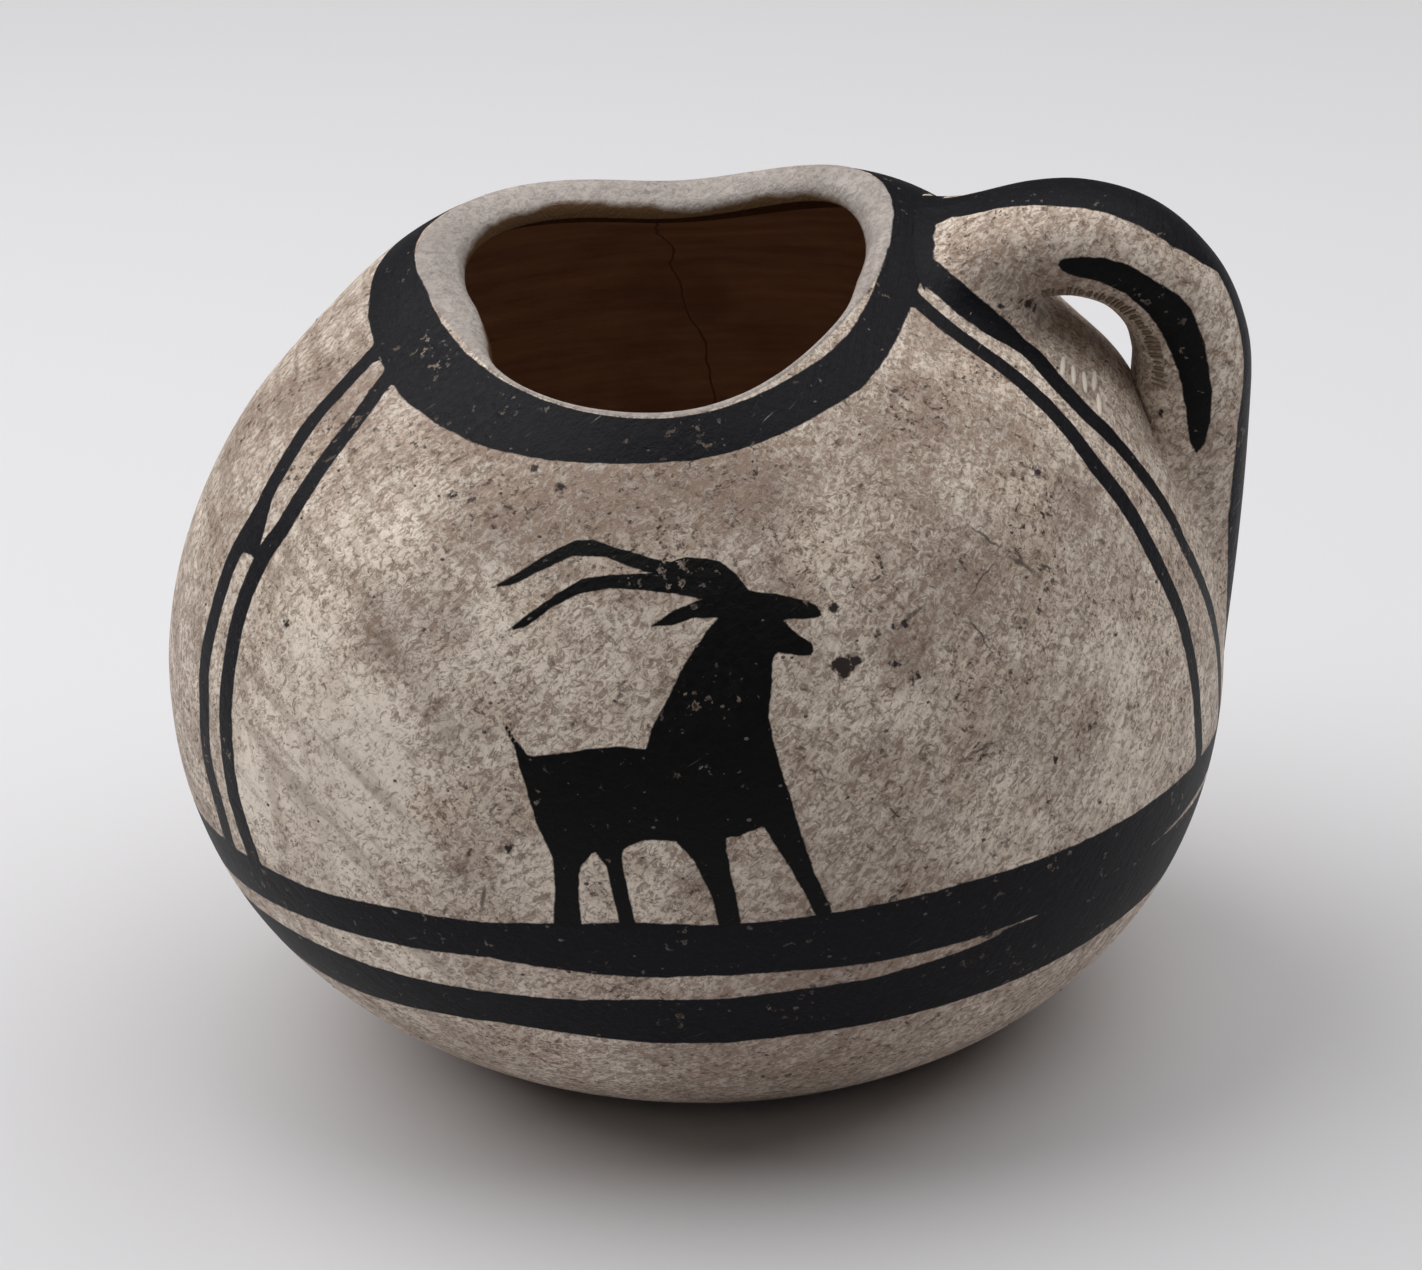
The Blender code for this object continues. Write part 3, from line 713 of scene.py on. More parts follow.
# %% The goat and the crescent, as closed outlines
# Millimetres along the belly from the front, and height; a plain brush figure with swept-back horns.
GOAT = [
    (-29.9, 86.6), (-26.6, 88.5), (-22.9, 91.0), (-18.3, 93.3), (-15.3, 93.5), (-9.5, 92.2), (-4.0, 90.9),
    (-2.7, 90.7), (-1.8, 91.0), (-0.3, 91.2), (2.4, 90.9), (4.6, 90.5), (6.4, 88.9), (8.2, 86.4),
    (12.2, 85.5), (16.2, 84.1), (17.4, 83.3), (18.0, 82.2), (17.1, 81.8), (15.0, 82.0), (12.2, 82.4),
    (13.7, 80.7), (15.9, 78.8), (15.9, 77.9), (15.3, 77.4), (11.0, 78.3), (10.4, 78.1), (10.1, 76.8),
    (9.5, 73.6), (8.9, 70.4), (9.2, 67.3), (9.8, 63.9), (10.7, 60.0), (11.6, 55.0), (13.1, 49.5),
    (15.3, 43.0), (13.1, 43.0), (11.6, 47.0), (9.5, 51.5), (7.0, 56.5), (4.0, 55.5), (2.4, 55.5),
    (2.4, 53.5), (3.1, 48.3), (3.7, 43.0), (0.9, 43.0), (0.3, 47.3), (-1.5, 52.3), (-3.7, 55.3),
    (-7.6, 55.5), (-9.5, 54.8), (-10.4, 54.0), (-10.4, 51.3), (-9.8, 47.3), (-9.2, 43.0), (-11.3, 43.0),
    (-11.9, 48.0), (-12.5, 52.0), (-13.7, 53.8), (-14.0, 53.8), (-15.6, 52.0), (-16.2, 48.8),
    (-16.2, 43.0), (-19.9, 43.0), (-19.5, 46.0), (-19.2, 48.5), (-19.2, 52.8), (-21.1, 57.3),
    (-22.3, 61.7), (-23.2, 64.4), (-23.8, 66.6), (-26.6, 71.6), (-22.3, 66.3), (-21.7, 66.1),
    (-18.0, 66.8), (-14.0, 67.5), (-10.1, 67.8), (-7.0, 67.5), (-6.1, 70.1), (-4.0, 73.8), (-1.8, 77.7),
    (1.2, 81.4), (3.4, 83.5), (0.0, 83.7), (-3.1, 82.9), (-6.1, 82.9), (-2.4, 84.9), (1.5, 86.0),
    (-2.7, 86.8), (-7.6, 87.4), (-11.9, 87.6), (-15.9, 87.0), (-19.9, 85.1), (-23.5, 82.4), (-26.3, 81.6),
    (-23.8, 83.7), (-19.9, 86.6), (-16.2, 88.7), (-11.9, 89.3), (-7.6, 89.5), (-5.2, 89.1), (-4.3, 89.1),
    (-7.6, 89.9), (-13.1, 91.4), (-18.0, 91.4), (-22.6, 89.3), (-26.6, 87.2),
]
# Millimetres out from the axis and up, seen square to the side of the handle.
CRESCENT = [
    (46.2, 106.4), (46.6, 107.1), (48.3, 107.3), (52.0, 107.0), (55.3, 105.7), (59.0, 103.0),
    (61.6, 101.1), (63.0, 99.3), (64.7, 94.2), (65.6, 87.9), (65.3, 83.7), (64.6, 80.4), (63.4, 79.1),
    (62.5, 80.7), (62.1, 85.6), (61.2, 90.6), (59.8, 94.7), (57.7, 98.5), (54.6, 101.8), (50.8, 103.9),
    (48.0, 104.6), (46.6, 105.4),
]


def outline_depth(points, outline):
    """Signed distance to a closed outline in a plane, positive inside."""
    outline = np.array(outline)
    low, high = outline.min(axis=0) - FAR, outline.max(axis=0) + FAR
    near = np.all((points > low) & (points < high), axis=1)
    spots = points[near]
    nearest = np.full(len(spots), FAR)
    inside = np.zeros(len(spots), dtype=bool)
    for start, end in zip(outline, np.roll(outline, -1, axis=0)):
        step = end - start
        share = np.clip((spots - start) @ step / (step @ step), 0.0, 1.0)
        nearest = np.minimum(nearest, np.linalg.norm(spots - start - share[:, None] * step, axis=1))
        between = (start[1] > spots[:, 1]) != (end[1] > spots[:, 1])
        rise_share = (spots[:, 1] - start[1]) / (step[1] if step[1] else 1.0)
        inside ^= between & (spots[:, 0] < start[0] + rise_share * step[0])
    depth = np.full(len(points), -FAR)
    depth[near] = np.where(inside, nearest, -nearest)
    return depth


goat = np.array(GOAT)
goat[:, 1] = np.interp(goat[:, 1], LEVELS, LENGTHS)
print("goat, mm:", np.ptp(goat, axis=0).round(1).tolist())

# %% Stains, the marks of wear, and painted crease shade
# Place and radius in millimetres: grey clouds, cleaner patches, rusty spots, small dark scuffs and painted
# crease shade.
CLOUDS = [
    (-18.0, -44.1, 94.0, 8.1), (-28.9, -32.3, 97.7, 6.1), (-10.7, -46.7, 93.3, 6.8),
    (-2.1, -45.8, 95.1, 6.8), (-34.5, -55.0, 66.4, 3.4), (-31.7, -50.2, 80.2, 3.8),
    (27.1, -29.0, 98.2, 3.5), (28.0, -33.6, 95.3, 2.2), (36.8, -29.9, 92.5, 5.4), (3.9, -47.5, 92.8, 4.7),
    (9.0, -53.0, 83.0, 3.0), (22.3, -54.8, 74.8, 4.5), (19.2, -59.6, 64.5, 4.1), (-33.2, -58.0, 49.9, 2.2),
    (-60.2, -0.9, 86.4, 5.4), (36.9, -9.2, 107.0, 3.5), (57.4, -10.1, 81.5, 1.9), (-3.7, -64.3, 49.9, 2.7),
    (46.1, -32.0, 83.3, 4.0), (0.0, -57.0, 20.0, 16.0), (15.0, -62.0, 33.0, 12.0), (8.8, -45.2, 94.1, 5.0),
    (30.0, -52.0, 33.0, 10.0), (22.1, -38.8, 94.7, 9.0), (28.9, -19.0, 101.4, 4.0),
    (30.1, -48.3, 79.9, 7.0), (-27.1, -44.6, 90.0, 8.0), (-40.9, -44.3, 80.7, 6.0),
    (-44.9, -16.6, 95.7, 6.0), (49.2, -12.8, 90.9, 4.0), (-66.9, -20.1, 65.9, 3.5),
    (-50.6, -7.2, 94.7, 8.0), (-42.7, -46.4, 75.3, 5.0), (45.0, -9.0, 102.0, 6.0),
]
CLEANER = [
    (-47.8, -43.0, 73.8, 8.1), (-59.8, -36.9, 54.9, 6.8), (-49.4, -47.8, 52.7, 5.4),
    (25.4, -32.4, 97.3, 1.2), (50.4, -39.6, 64.5, 5.0), (13.0, -51.6, 85.6, 4.0),
    (-39.5, -42.0, 85.0, 6.8), (33.7, -55.0, 48.2, 6.8), (50.4, -11.1, 90.1, 3.0),
    (-47.9, -46.5, 65.7, 10.0), (-58.6, -38.6, 52.8, 10.0), (-40.2, -53.6, 59.1, 11.0),
    (-28.5, -51.4, 80.5, 6.0), (50.1, -42.4, 49.2, 8.0), (19.6, -58.5, 67.5, 6.0),
    (-44.6, -48.8, 34.4, 10.0), (30.0, -52.7, 71.6, 3.5), (-59.1, -28.7, 74.6, 6.0),
    (-16.2, -63.1, 48.2, 6.0), (59.4, -29.8, 50.7, 6.0), (52.2, -8.2, 12.2, 8.0),
]
RUSTY = [
    (-37.7, -55.4, 56.5, 3.5), (-36.5, -55.6, 59.3, 1.9), (36.6, -44.5, 79.3, 1.4),
    (-6.8, -43.0, 97.5, 1.6), (-1.1, -49.3, 91.2, 1.4), (-49.1, -47.7, 56.8, 1.9),
    (-36.0, -36.0, 12.0, 4.5),
]
# Dark marks: small scuffs on the belly, and four at the left end of the handle's hole that are painted shade
# in its crease.
SCUFFS_AND_CREASE_SHADE = [
    (15.3, -57.3, 74.2, 1.5), (16.9, -56.7, 74.5, 1.0), (21.6, -55.6, 73.6, 0.8), (23.7, -55.7, 71.4, 0.8),
    (22.1, -55.2, 74.1, 0.6), (14.5, -54.3, 80.6, 0.7), (19.8, -54.7, 76.8, 0.8), (23.1, -53.0, 77.7, 0.9),
    (41.1, -32.9, 87.7, 1.0), (31.8, -55.3, 59.9, 0.8), (45.8, -45.8, 58.7, 0.6), (27.2, -58.2, 46.9, 0.6),
    (34.6, -54.2, 44.4, 0.6), (41.3, -49.9, 56.2, 0.5), (-41.2, -24.1, 95.3, 0.6),
    (-39.7, -26.3, 95.2, 0.6), (-36.0, -29.4, 95.8, 0.7), (-31.2, -39.2, 92.5, 0.7),
    (-18.0, -43.9, 94.2, 0.7), (-53.9, -36.1, 74.7, 0.7), (-27.1, -60.3, 53.9, 0.8),
    (-21.0, -41.0, 95.5, 0.6), (-26.1, -44.8, 90.3, 0.6), (41.5, -9.6, 101.7, 0.7),
    (43.2, -7.2, 99.6, 0.8), (42.4, -8.6, 100.8, 0.7), (38.9, -10.9, 101.4, 0.5), (58.9, -8.0, 84.1, 0.6),
]
print("stains:", len(CLOUDS), "clouds,", len(RUSTY), "rusty spots and", len(SCUFFS_AND_CREASE_SHADE), "scuffs")


# %% Keep the marks on the points
def soft_spots(points, spots):
    """Sum of soft round spots, 1 at the centre of each."""
    total = np.zeros(len(points))
    for x, y, z, size in spots:
        gap = np.linalg.norm(points - (x, y, z), axis=1)
        total += np.exp(-(gap / size) ** 2)
    return total


def store_marks(item, points, paint, ink, bare):
    """Keep the depths, stains, scuffs and painted crease shade of a piece as point attributes for its finish.
    """
    scuff_and_crease_shade = np.full(len(points), -FAR)
    for x, y, z, size in SCUFFS_AND_CREASE_SHADE:
        scuff_and_crease_shade = np.maximum(scuff_and_crease_shade, size - np.linalg.norm(points - (x, y, z), axis=1))
    marks = {
        "paint": paint, "ink": ink, "bare": bare, "scuff_and_crease_shade": scuff_and_crease_shade,
        "cloud": soft_spots(points, CLOUDS) - soft_spots(points, CLEANER), "rust": soft_spots(points, RUSTY),
    }
    keep_on_points(item.data, marks)
    print(item.name, "painted points:", int((np.maximum(paint, ink) > 0.0).sum()), "of", len(points))


# %% Paint the wall
# Millimetres outside the bare clay, for pieces that the slip covers all over.
ALL_SLIPPED = -20.0
wall_points = points_of(slipped_wall)
theta = np.append(0.0, wall_theta)
climb = np.append(0.0, wall_climb)
facing = -np.abs((theta + math.pi) % (2.0 * math.pi) - math.pi)
along_belly = np.stack([(facing + 0.5 * math.pi) * BELLY_RADIUS, climb], axis=1)
wall_bands = band_depth(theta, WALL_LENGTH - climb, np.interp(climb, LENGTHS, LEVELS))
store_marks(
    slipped_wall, wall_points, np.maximum(wall_bands, lines_depth(wall_points)),
    outline_depth(along_belly, goat), np.full(len(wall_points), ALL_SLIPPED))

# %% Paint the lip
lip_theta = np.tile(THETAS, len(lip_rings))
# Degrees round the pot, then the share of the lip that the slip covers before the bare clay starts.
SLIP_END = [
    (-270, 0.78), (-263, 0.73), (-254, 0.71), (-245, 0.72), (-236, 0.76), (-230, 0.79), (-217, 0.85),
    (-204, 0.90), (-190, 0.98), (-179, 0.93), (-172, 0.80), (-166, 0.68), (-160, 0.62), (-154, 0.55),
    (-144, 0.45), (-50, 0.45), (-30, 0.55), (-20, 0.65), (-10, 0.82), (0, 0.92), (20, 0.98), (49, 0.91),
    (63, 0.80), (72, 0.80), (82, 0.83), (90, 0.78),
]
slip_end = columns_at(SLIP_END, np.degrees(THETAS))[0] * lip_across[LIP_ROWS - 1]
lip_bands = band_depth(lip_theta, -lip_across.ravel(), np.full(len(lip_points), RIM_HEIGHT))
store_marks(lip, lip_points, lip_bands, np.full(len(lip_points), -FAR), (lip_across - slip_end).ravel())

# %% Paint the handle
# Ring of the handle, then the near and the far edge of the black stripe down its back, in millimetres.
SPINE = [
    (0, -1.0, 9.0), (22, 0.5, 7.5), (36, -2.2, 6.5), (50, -4.3, 6.0), (60, -5.3, 6.0), (77, -6.6, 6.6),
    (85, -6.9, 6.9), (93, -5.7, 6.6), (98, -4.2, 6.4), (104, -5.0, 6.4), (119, -6.4, 6.4),
    (131, -7.3, 7.3), (152, -7.0, 7.0), (190, -5.5, 5.5),
]
near_edge, far_edge = columns_at(SPINE, np.repeat(np.arange(len(rings)), AROUND_STRAP))
CRESCENT_SIDE = 6.0
EDGE_STEP = 4
y = handle_points[:, 1]
spine = np.where(np.tile(rise, len(rings)) > 0.0, np.minimum(y - near_edge, far_edge - y), -FAR)
handle_theta = np.arctan2(y / DEPTH_RATIO, handle_points[:, 0] + BODY_LEAN)
lip_drop = np.min([np.linalg.norm(handle_points - point, axis=1) for point in edge[::EDGE_STEP]], axis=0)
handle_bands = band_depth(handle_theta, lip_drop, handle_points[:, 2])
crescent = np.where(np.abs(y) > CRESCENT_SIDE, outline_depth(handle_points[:, [0, 2]], CRESCENT), -FAR)
store_marks(
    handle, handle_points, np.max([spine, handle_bands, lines_depth(handle_points)], axis=0), crescent,
    np.full(len(handle_points), ALL_SLIPPED))

# %% [markdown]
# ## The slip and its paint
# The slip was brushed on, polished with a pebble and fired with dung, so it is a warm pale grey with grey
# smoke clouds, rusty spots, fine mottling, dark stippling and the faint strokes of the pebble. The black is
# plant juice and soot, matt and a little bluish, worn through in small flecks and thin scrapes. Painted marks
# in a picture would fix all this for one view only, so it is layered in one shader, from the large clouds
# down to the grain, with every size given in millimetres.


# %% The slip's unevenness, from smoke clouds down to grain
def per(size):
    """Noise scale for marks of about this size in millimetres."""
    return 1.0 / (size * MM)


RANGE = "ShaderNodeMapRange"
MAPPING = "ShaderNodeMapping"
MIX = "ShaderNodeMix"
slip.use_nodes = True
tree = slip.node_tree
shader = tree.nodes["Principled BSDF"]
place = add(tree, "ShaderNodeTexCoord").outputs["Object"]
mark = {}
for key in ("paint", "ink", "bare", "scuff_and_crease_shade", "cloud", "rust"):
    mark[key] = add(tree, "ShaderNodeAttribute", attribute_name=key).outputs["Fac"]

# The mottling is drawn out a little by the wiping hand.
smoke = add(tree, NOISE, {"Vector": place, "Scale": per(26.0), "Detail": 4.0, "Roughness": 0.6})
patch = add(tree, NOISE, {"Vector": place, "Scale": per(9.0), "Detail": 6.0, "Roughness": 0.62})
wiped_on = add(tree, MAPPING, {
    "Vector": place, "Rotation": (0.0, math.radians(-40.0), 0.0),
    "Scale": (1.25 * MM, 1.0 * MM, 0.8 * MM)}, vector_type="TEXTURE")
mottle = add(tree, NOISE, {
    "Vector": wiped_on, "Scale": 1.0, "Detail": 4.0, "Roughness": 0.78, "Distortion": 1.0})
fleck = add(tree, NOISE, {"Vector": place, "Scale": per(1.3), "Detail": 3.0, "Roughness": 0.6})
grain = add(tree, NOISE, {"Vector": place, "Scale": per(0.5), "Detail": 2.0, "Roughness": 0.6})
print("unevenness:", len(tree.nodes), "nodes")

# %% Dashes and smears of the brush
# The brush drew them out two ways: short dark dashes where the slip lies thin, and longer smears.
drawn = {}
for key, length, depth, width in (("dash", 1.7, 1.2, 0.9), ("smear", 4.2, 4.2, 1.5)):
    drawn[key] = 0.0
    for tilt in (40.0, -35.0):
        brushed = add(tree, MAPPING, {
            "Vector": place, "Rotation": (0.0, math.radians(tilt), 0.0),
            "Scale": (length * MM, depth * MM, width * MM)}, vector_type="TEXTURE")
        pull = add(tree, NOISE, {
            "Vector": brushed, "Scale": 1.0, "Detail": 5.0, "Roughness": 0.7, "Distortion": 0.25})
        drawn[key] = add(tree, MATH, {0: pull, 1: drawn[key]}, operation="MAXIMUM")
print("with the brush:", len(tree.nodes), "nodes")

# %% Strokes of the polishing pebble
# Tilt, length, width, the places across the pot where they start and are full, and strength.
PEBBLE_STROKES = [
    (38.0, 26.0, 2.6, -26.0, -42.0, 1.0), (-60.0, 11.0, 0.8, -2.0, 12.0, 0.6),
    (84.0, 22.0, 1.8, -44.0, -58.0, 0.8),
]
STROKE_DEPTH = 30.0
sideways = add(tree, "ShaderNodeSeparateXYZ", {0: place}).outputs["X"]
stroke = 0.0
for tilt, length, width, fade, full, strength in PEBBLE_STROKES:
    drawn_out = add(tree, MAPPING, {
        "Vector": place, "Rotation": (0.0, math.radians(tilt), 0.0),
        "Scale": (length * MM, STROKE_DEPTH * MM, width * MM)}, vector_type="TEXTURE")
    pull = add(tree, NOISE, {"Vector": drawn_out, "Scale": 1.0, "Detail": 3.0, "Roughness": 0.55})
    pull = add(tree, RANGE, {"Value": pull, "From Min": 0.48, "From Max": 0.60, "To Max": strength})
    shown = add(tree, RANGE, {"Value": sideways, "From Min": fade * MM, "From Max": full * MM})
    pull = add(tree, MATH, {0: pull, 1: shown}, operation="MULTIPLY")
    stroke = add(tree, MATH, {0: pull, 1: stroke}, operation="MAXIMUM")
print("with the pebble:", len(tree.nodes), "nodes")

# %% Scratches, and the edge of a lifted flake, on the front
# Start and end (across, up), and width.
HAIRLINES = [
    ((30.8, 86.6), (36.8, 81.6), 0.45), ((36.0, 82.4), (41.4, 77.6), 0.8), ((30.0, 77.9), (35.9, 81.6), 0.3),
    ((30.0, 77.2), (34.9, 70.2), 0.3), ((21.4, 77.0), (26.2, 79.3), 0.8), ((30.4, 60.5), (34.2, 61.3), 0.7),
    ((-30.3, 48.6), (-30.9, 43.0), 0.7),
]
# Noise shakes the lines by up to this much, half of it on average, which their places make up for.
SHAKE = 4.0
FRONT, FRONT_DEPTH = -50.0, 60.0
shaken = add(tree, VECTOR_MATH, {
    0: patch.outputs["Color"], 1: (SHAKE * MM,) * 3, 2: place}, operation="MULTIPLY_ADD")
scratch = 0.0
for start, end, width in HAIRLINES:
    along = np.subtract(end, start)
    middle = (np.add(start, end) + SHAKE) * 0.5
    local = add(tree, MAPPING, {
        "Vector": shaken, "Rotation": (0.0, -math.atan2(along[1], along[0]), 0.0),
        "Location": (middle[0] * MM, FRONT * MM, middle[1] * MM),
        "Scale": (np.hypot(*along) * 0.5 * MM, FRONT_DEPTH * MM, width * 0.5 * MM)}, vector_type="TEXTURE")
    distance = add(tree, VECTOR_MATH, {0: local}, operation="LENGTH").outputs["Value"]
    line = add(tree, RANGE, {"Value": distance, "From Min": 1.0, "From Max": 0.4, "To Max": 0.75})
    scratch = add(tree, MATH, {0: line, 1: scratch}, operation="MAXIMUM")
print("with the scratches:", len(tree.nodes), "nodes")

# %% Layers of colour, from the broad to the fine
# Where it is cloudy the slip is also thinner.
cloud = mark["cloud"]
smoke_share = add(tree, MATH, {0: cloud, 1: 0.4, 2: smoke}, operation="MULTIPLY_ADD")
smoked = add(tree, RANGE, {"Value": smoke_share, "From Min": 0.34, "From Max": 1.04, "To Max": 0.58})
patchy = add(tree, MATH, {0: cloud, 1: 0.05, 2: patch}, operation="MULTIPLY_ADD")
blotched = add(tree, RANGE, {"Value": patchy, "From Min": 0.43, "From Max": 0.64, "To Max": 0.54})
smeary = add(tree, MATH, {0: cloud, 1: 0.04, 2: drawn["smear"]}, operation="MULTIPLY_ADD")
smeared = add(tree, RANGE, {"Value": smeary, "From Min": 0.52, "From Max": 0.66, "To Max": 0.6})
speckly = add(tree, MATH, {0: cloud, 1: 0.04, 2: mottle}, operation="MULTIPLY_ADD")
mottled = add(tree, RANGE, {"Value": speckly, "From Min": 0.46, "From Max": 0.58, "To Max": 0.84})
stroked = add(tree, MATH, {0: stroke, 1: 0.42}, operation="MULTIPLY")
thin_share = add(tree, RANGE, {
    "Value": patchy, "From Min": 0.40, "From Max": 0.62, "To Min": 0.22, "To Max": 1.0})
stippled = add(tree, RANGE, {"Value": drawn["dash"], "From Min": 0.56, "From Max": 0.66})
stipple_mask = add(tree, MATH, {0: stippled, 1: thin_share}, operation="MULTIPLY")
flecked = add(tree, RANGE, {"Value": fleck, "From Min": 0.635, "From Max": 0.70})
fleck_mask = add(tree, MATH, {0: flecked, 1: thin_share}, operation="MULTIPLY")
rusted = add(tree, MATH, {0: mark["rust"], 1: stippled}, operation="MULTIPLY", use_clamp=True)
# The dark marks darken the slip: scuffs on the belly, and painted shade in the crease at the left end of the
# handle's hole.
scuff_and_shade_edge = add(tree, MATH, {0: fleck, 1: 4.0, 2: mark["scuff_and_crease_shade"]}, operation="MULTIPLY_ADD")
scuffed_and_shaded = add(tree, RANGE, {"Value": scuff_and_shade_edge, "From Min": 2.0, "From Max": 2.5})
colour = linear("#FFF1E1")
for mask, shade in (
        (blotched, "#C9B09B"), (smoked, "#8A817E"), (smeared, "#A89282"), (mottled, "#978070"),
        (stroked, "#877160"), (stipple_mask, "#54463D"), (rusted, "#9C7851"), (fleck_mask, "#473A33"),
        (scratch, "#4E433E"), (scuffed_and_shaded, "#3A3130")):
    colour = add(tree, MIX, {"Factor": mask, "A": colour, "B": linear(shade)}, data_type="RGBA")
    colour = colour.outputs["Result"]
print("slip layers:", len(tree.nodes), "nodes")

# %% The wiped lip, and the bare clay where the slip ends
# Only the lip's points lie within a few millimetres of the bare clay.
on_lip = add(tree, RANGE, {"Value": mark["bare"], "From Min": -14.0, "From Max": -12.0, "To Max": 0.7})
colour = add(tree, MIX, {"Factor": on_lip, "A": colour, "B": linear("#9D9795")}, data_type="RGBA")
bare_edge = add(tree, MATH, {0: patch, 1: 3.0, 2: mark["bare"]}, operation="MULTIPLY_ADD")
bared = add(tree, RANGE, {"Value": bare_edge, "From Min": 1.0, "From Max": 1.9})
colour = add(tree, MIX, {
    "Factor": bared, "A": colour.outputs["Result"], "B": linear("#5E452D")}, data_type="RGBA")
print("with the lip:", len(tree.nodes), "nodes")

# %% The black paint with its worn flecks and scrapes
wobble = add(tree, NOISE, {"Vector": place, "Scale": per(2.6), "Detail": 4.0, "Roughness": 0.7})
worn_area = add(tree, RANGE, {"Value": patch, "From Min": 0.46, "From Max": 0.66, "To Max": 0.12})
worn_level = add(tree, MATH, {0: fleck, 1: worn_area}, operation="ADD")
worn = add(tree, RANGE, {"Value": worn_level, "From Min": 0.70, "From Max": 0.77, "To Max": 0.65})
slanted = add(tree, MAPPING, {
    "Vector": place, "Rotation": (0.0, math.radians(-28.0), 0.0),
    "Scale": (8.0 * MM, 8.0 * MM, 0.45 * MM)}, vector_type="TEXTURE")
scraped = add(tree, NOISE, {"Vector": slanted, "Scale": 1.0, "Detail": 2.0})
scraped = add(tree, RANGE, {"Value": scraped, "From Min": 0.74, "From Max": 0.80, "To Max": 0.35})
lost = add(tree, MATH, {0: worn, 1: scraped}, operation="MAXIMUM")
kept = add(tree, MATH, {0: 1.0, 1: lost}, operation="SUBTRACT", use_clamp=True)
painted = {}
for key in ("paint", "ink"):
    ragged = add(tree, MATH, {0: wobble, 1: 0.7, 2: mark[key]}, operation="MULTIPLY_ADD")
    cover = add(tree, RANGE, {
        "Value": ragged, "From Min": 0.22, "From Max": 0.48}, interpolation_type="SMOOTHSTEP")
    painted[key] = add(tree, MATH, {0: cover, 1: kept}, operation="MULTIPLY")
thin_black = add(tree, MIX, {
    "Factor": stippled, "A": linear("#0B0B11"), "B": linear("#15151C")}, data_type="RGBA")
colour = add(tree, MIX, {
    "Factor": painted["paint"], "A": colour.outputs["Result"],
    "B": thin_black.outputs["Result"]}, data_type="RGBA")
colour = add(tree, MIX, {
    "Factor": painted["ink"], "A": colour.outputs["Result"], "B": linear("#080809")}, data_type="RGBA")
tree.links.new(colour.outputs["Result"], shader.inputs["Base Color"])
print("with the paint:", len(tree.nodes), "nodes")

# %% Relief of the slip, in millimetres
# The slip swells in patches and grains; all other layers lie lower.
relief = add(tree, MATH, {0: patch, 1: 0.30}, operation="MULTIPLY")
for layer, height in (
        (grain, 0.05), (mottle, -0.16), (smeared, -0.08), (stroke, -0.05), (stipple_mask, -0.05),
        (fleck_mask, -0.06), (scratch, -0.12), (scuffed_and_shaded, -0.08)):
    relief = add(tree, MATH, {0: layer, 1: height, 2: relief}, operation="MULTIPLY_ADD")
bump = add(tree, "ShaderNodeBump", {"Height": relief, "Distance": MM, "Strength": 0.8})
tree.links.new(bump.outputs["Normal"], shader.inputs["Normal"])
shader.inputs["Roughness"].default_value = 0.5
shader.inputs["Specular IOR Level"].default_value = 0.14
print("with the relief:", len(tree.nodes), "nodes")

# %% [markdown]
# ## The bare clay inside
# Inside, the clay was only wiped with a wet hand, so it kept its brown colour and fine marks that run round
# the pot. A hairline crack comes down from the far side of the lip, slanting towards the handle. The wiping
# is noise drawn out round the pot, and the crack is a slanting plane that noise sets wandering, shown only
# where it cuts the upper part of the far wall.

# %% Finish of the inside
raw_clay.use_nodes = True
tree = raw_clay.node_tree
shader = tree.nodes["Principled BSDF"]
place = add(tree, "ShaderNodeTexCoord").outputs["Object"]
round_the_pot = add(tree, MAPPING, {
    "Vector": place, "Scale": (22.0 * MM, 22.0 * MM, 2.2 * MM)}, vector_type="TEXTURE")
wiped = add(tree, NOISE, {"Vector": round_the_pot, "Scale": 1.0, "Detail": 5.0, "Roughness": 0.6})
blotch = add(tree, NOISE, {"Vector": place, "Scale": per(14.0), "Detail": 4.0})
lighter = add(tree, RANGE, {"Value": wiped, "From Min": 0.34, "From Max": 0.68})
colour = add(tree, MIX, {
    "Factor": lighter, "A": linear("#AB8A73"), "B": linear("#C9A98F")}, data_type="RGBA")
darker = add(tree, RANGE, {"Value": blotch, "From Min": 0.5, "From Max": 0.7, "To Max": 0.5})
colour = add(tree, MIX, {
    "Factor": darker, "A": colour.outputs["Result"], "B": linear("#917159")}, data_type="RGBA")
print("wiped clay:", len(tree.nodes), "nodes")

# %% The hairline crack, and the relief of the wiping
CRACK_SLANT, CRACK_WANDER, CRACK_PLACE, CRACK_HALF_WIDTH = 0.18, 5.0, 16.1, 0.16
CRACK_END = 120.0
axes = add(tree, "ShaderNodeSeparateXYZ", {0: place}).outputs
slanting = add(tree, MATH, {0: axes["Z"], 1: CRACK_SLANT, 2: axes["X"]}, operation="MULTIPLY_ADD")
wandering = add(tree, MATH, {0: blotch, 1: CRACK_WANDER * MM, 2: slanting}, operation="MULTIPLY_ADD")
on_crack = add(tree, MATH, {
    0: wandering, 1: CRACK_PLACE * MM, 2: CRACK_HALF_WIDTH * MM}, operation="COMPARE")
far_up = add(tree, MATH, {0: axes["Y"], 1: 2.0, 2: axes["Z"]}, operation="MULTIPLY_ADD")
far_side = add(tree, MATH, {0: far_up, 1: CRACK_END * MM}, operation="GREATER_THAN")
cracked = add(tree, MATH, {0: on_crack, 1: far_side}, operation="MULTIPLY")
colour = add(tree, MIX, {
    "Factor": cracked, "A": colour.outputs["Result"], "B": linear("#80654F")}, data_type="RGBA")
tree.links.new(colour.outputs["Result"], shader.inputs["Base Color"])
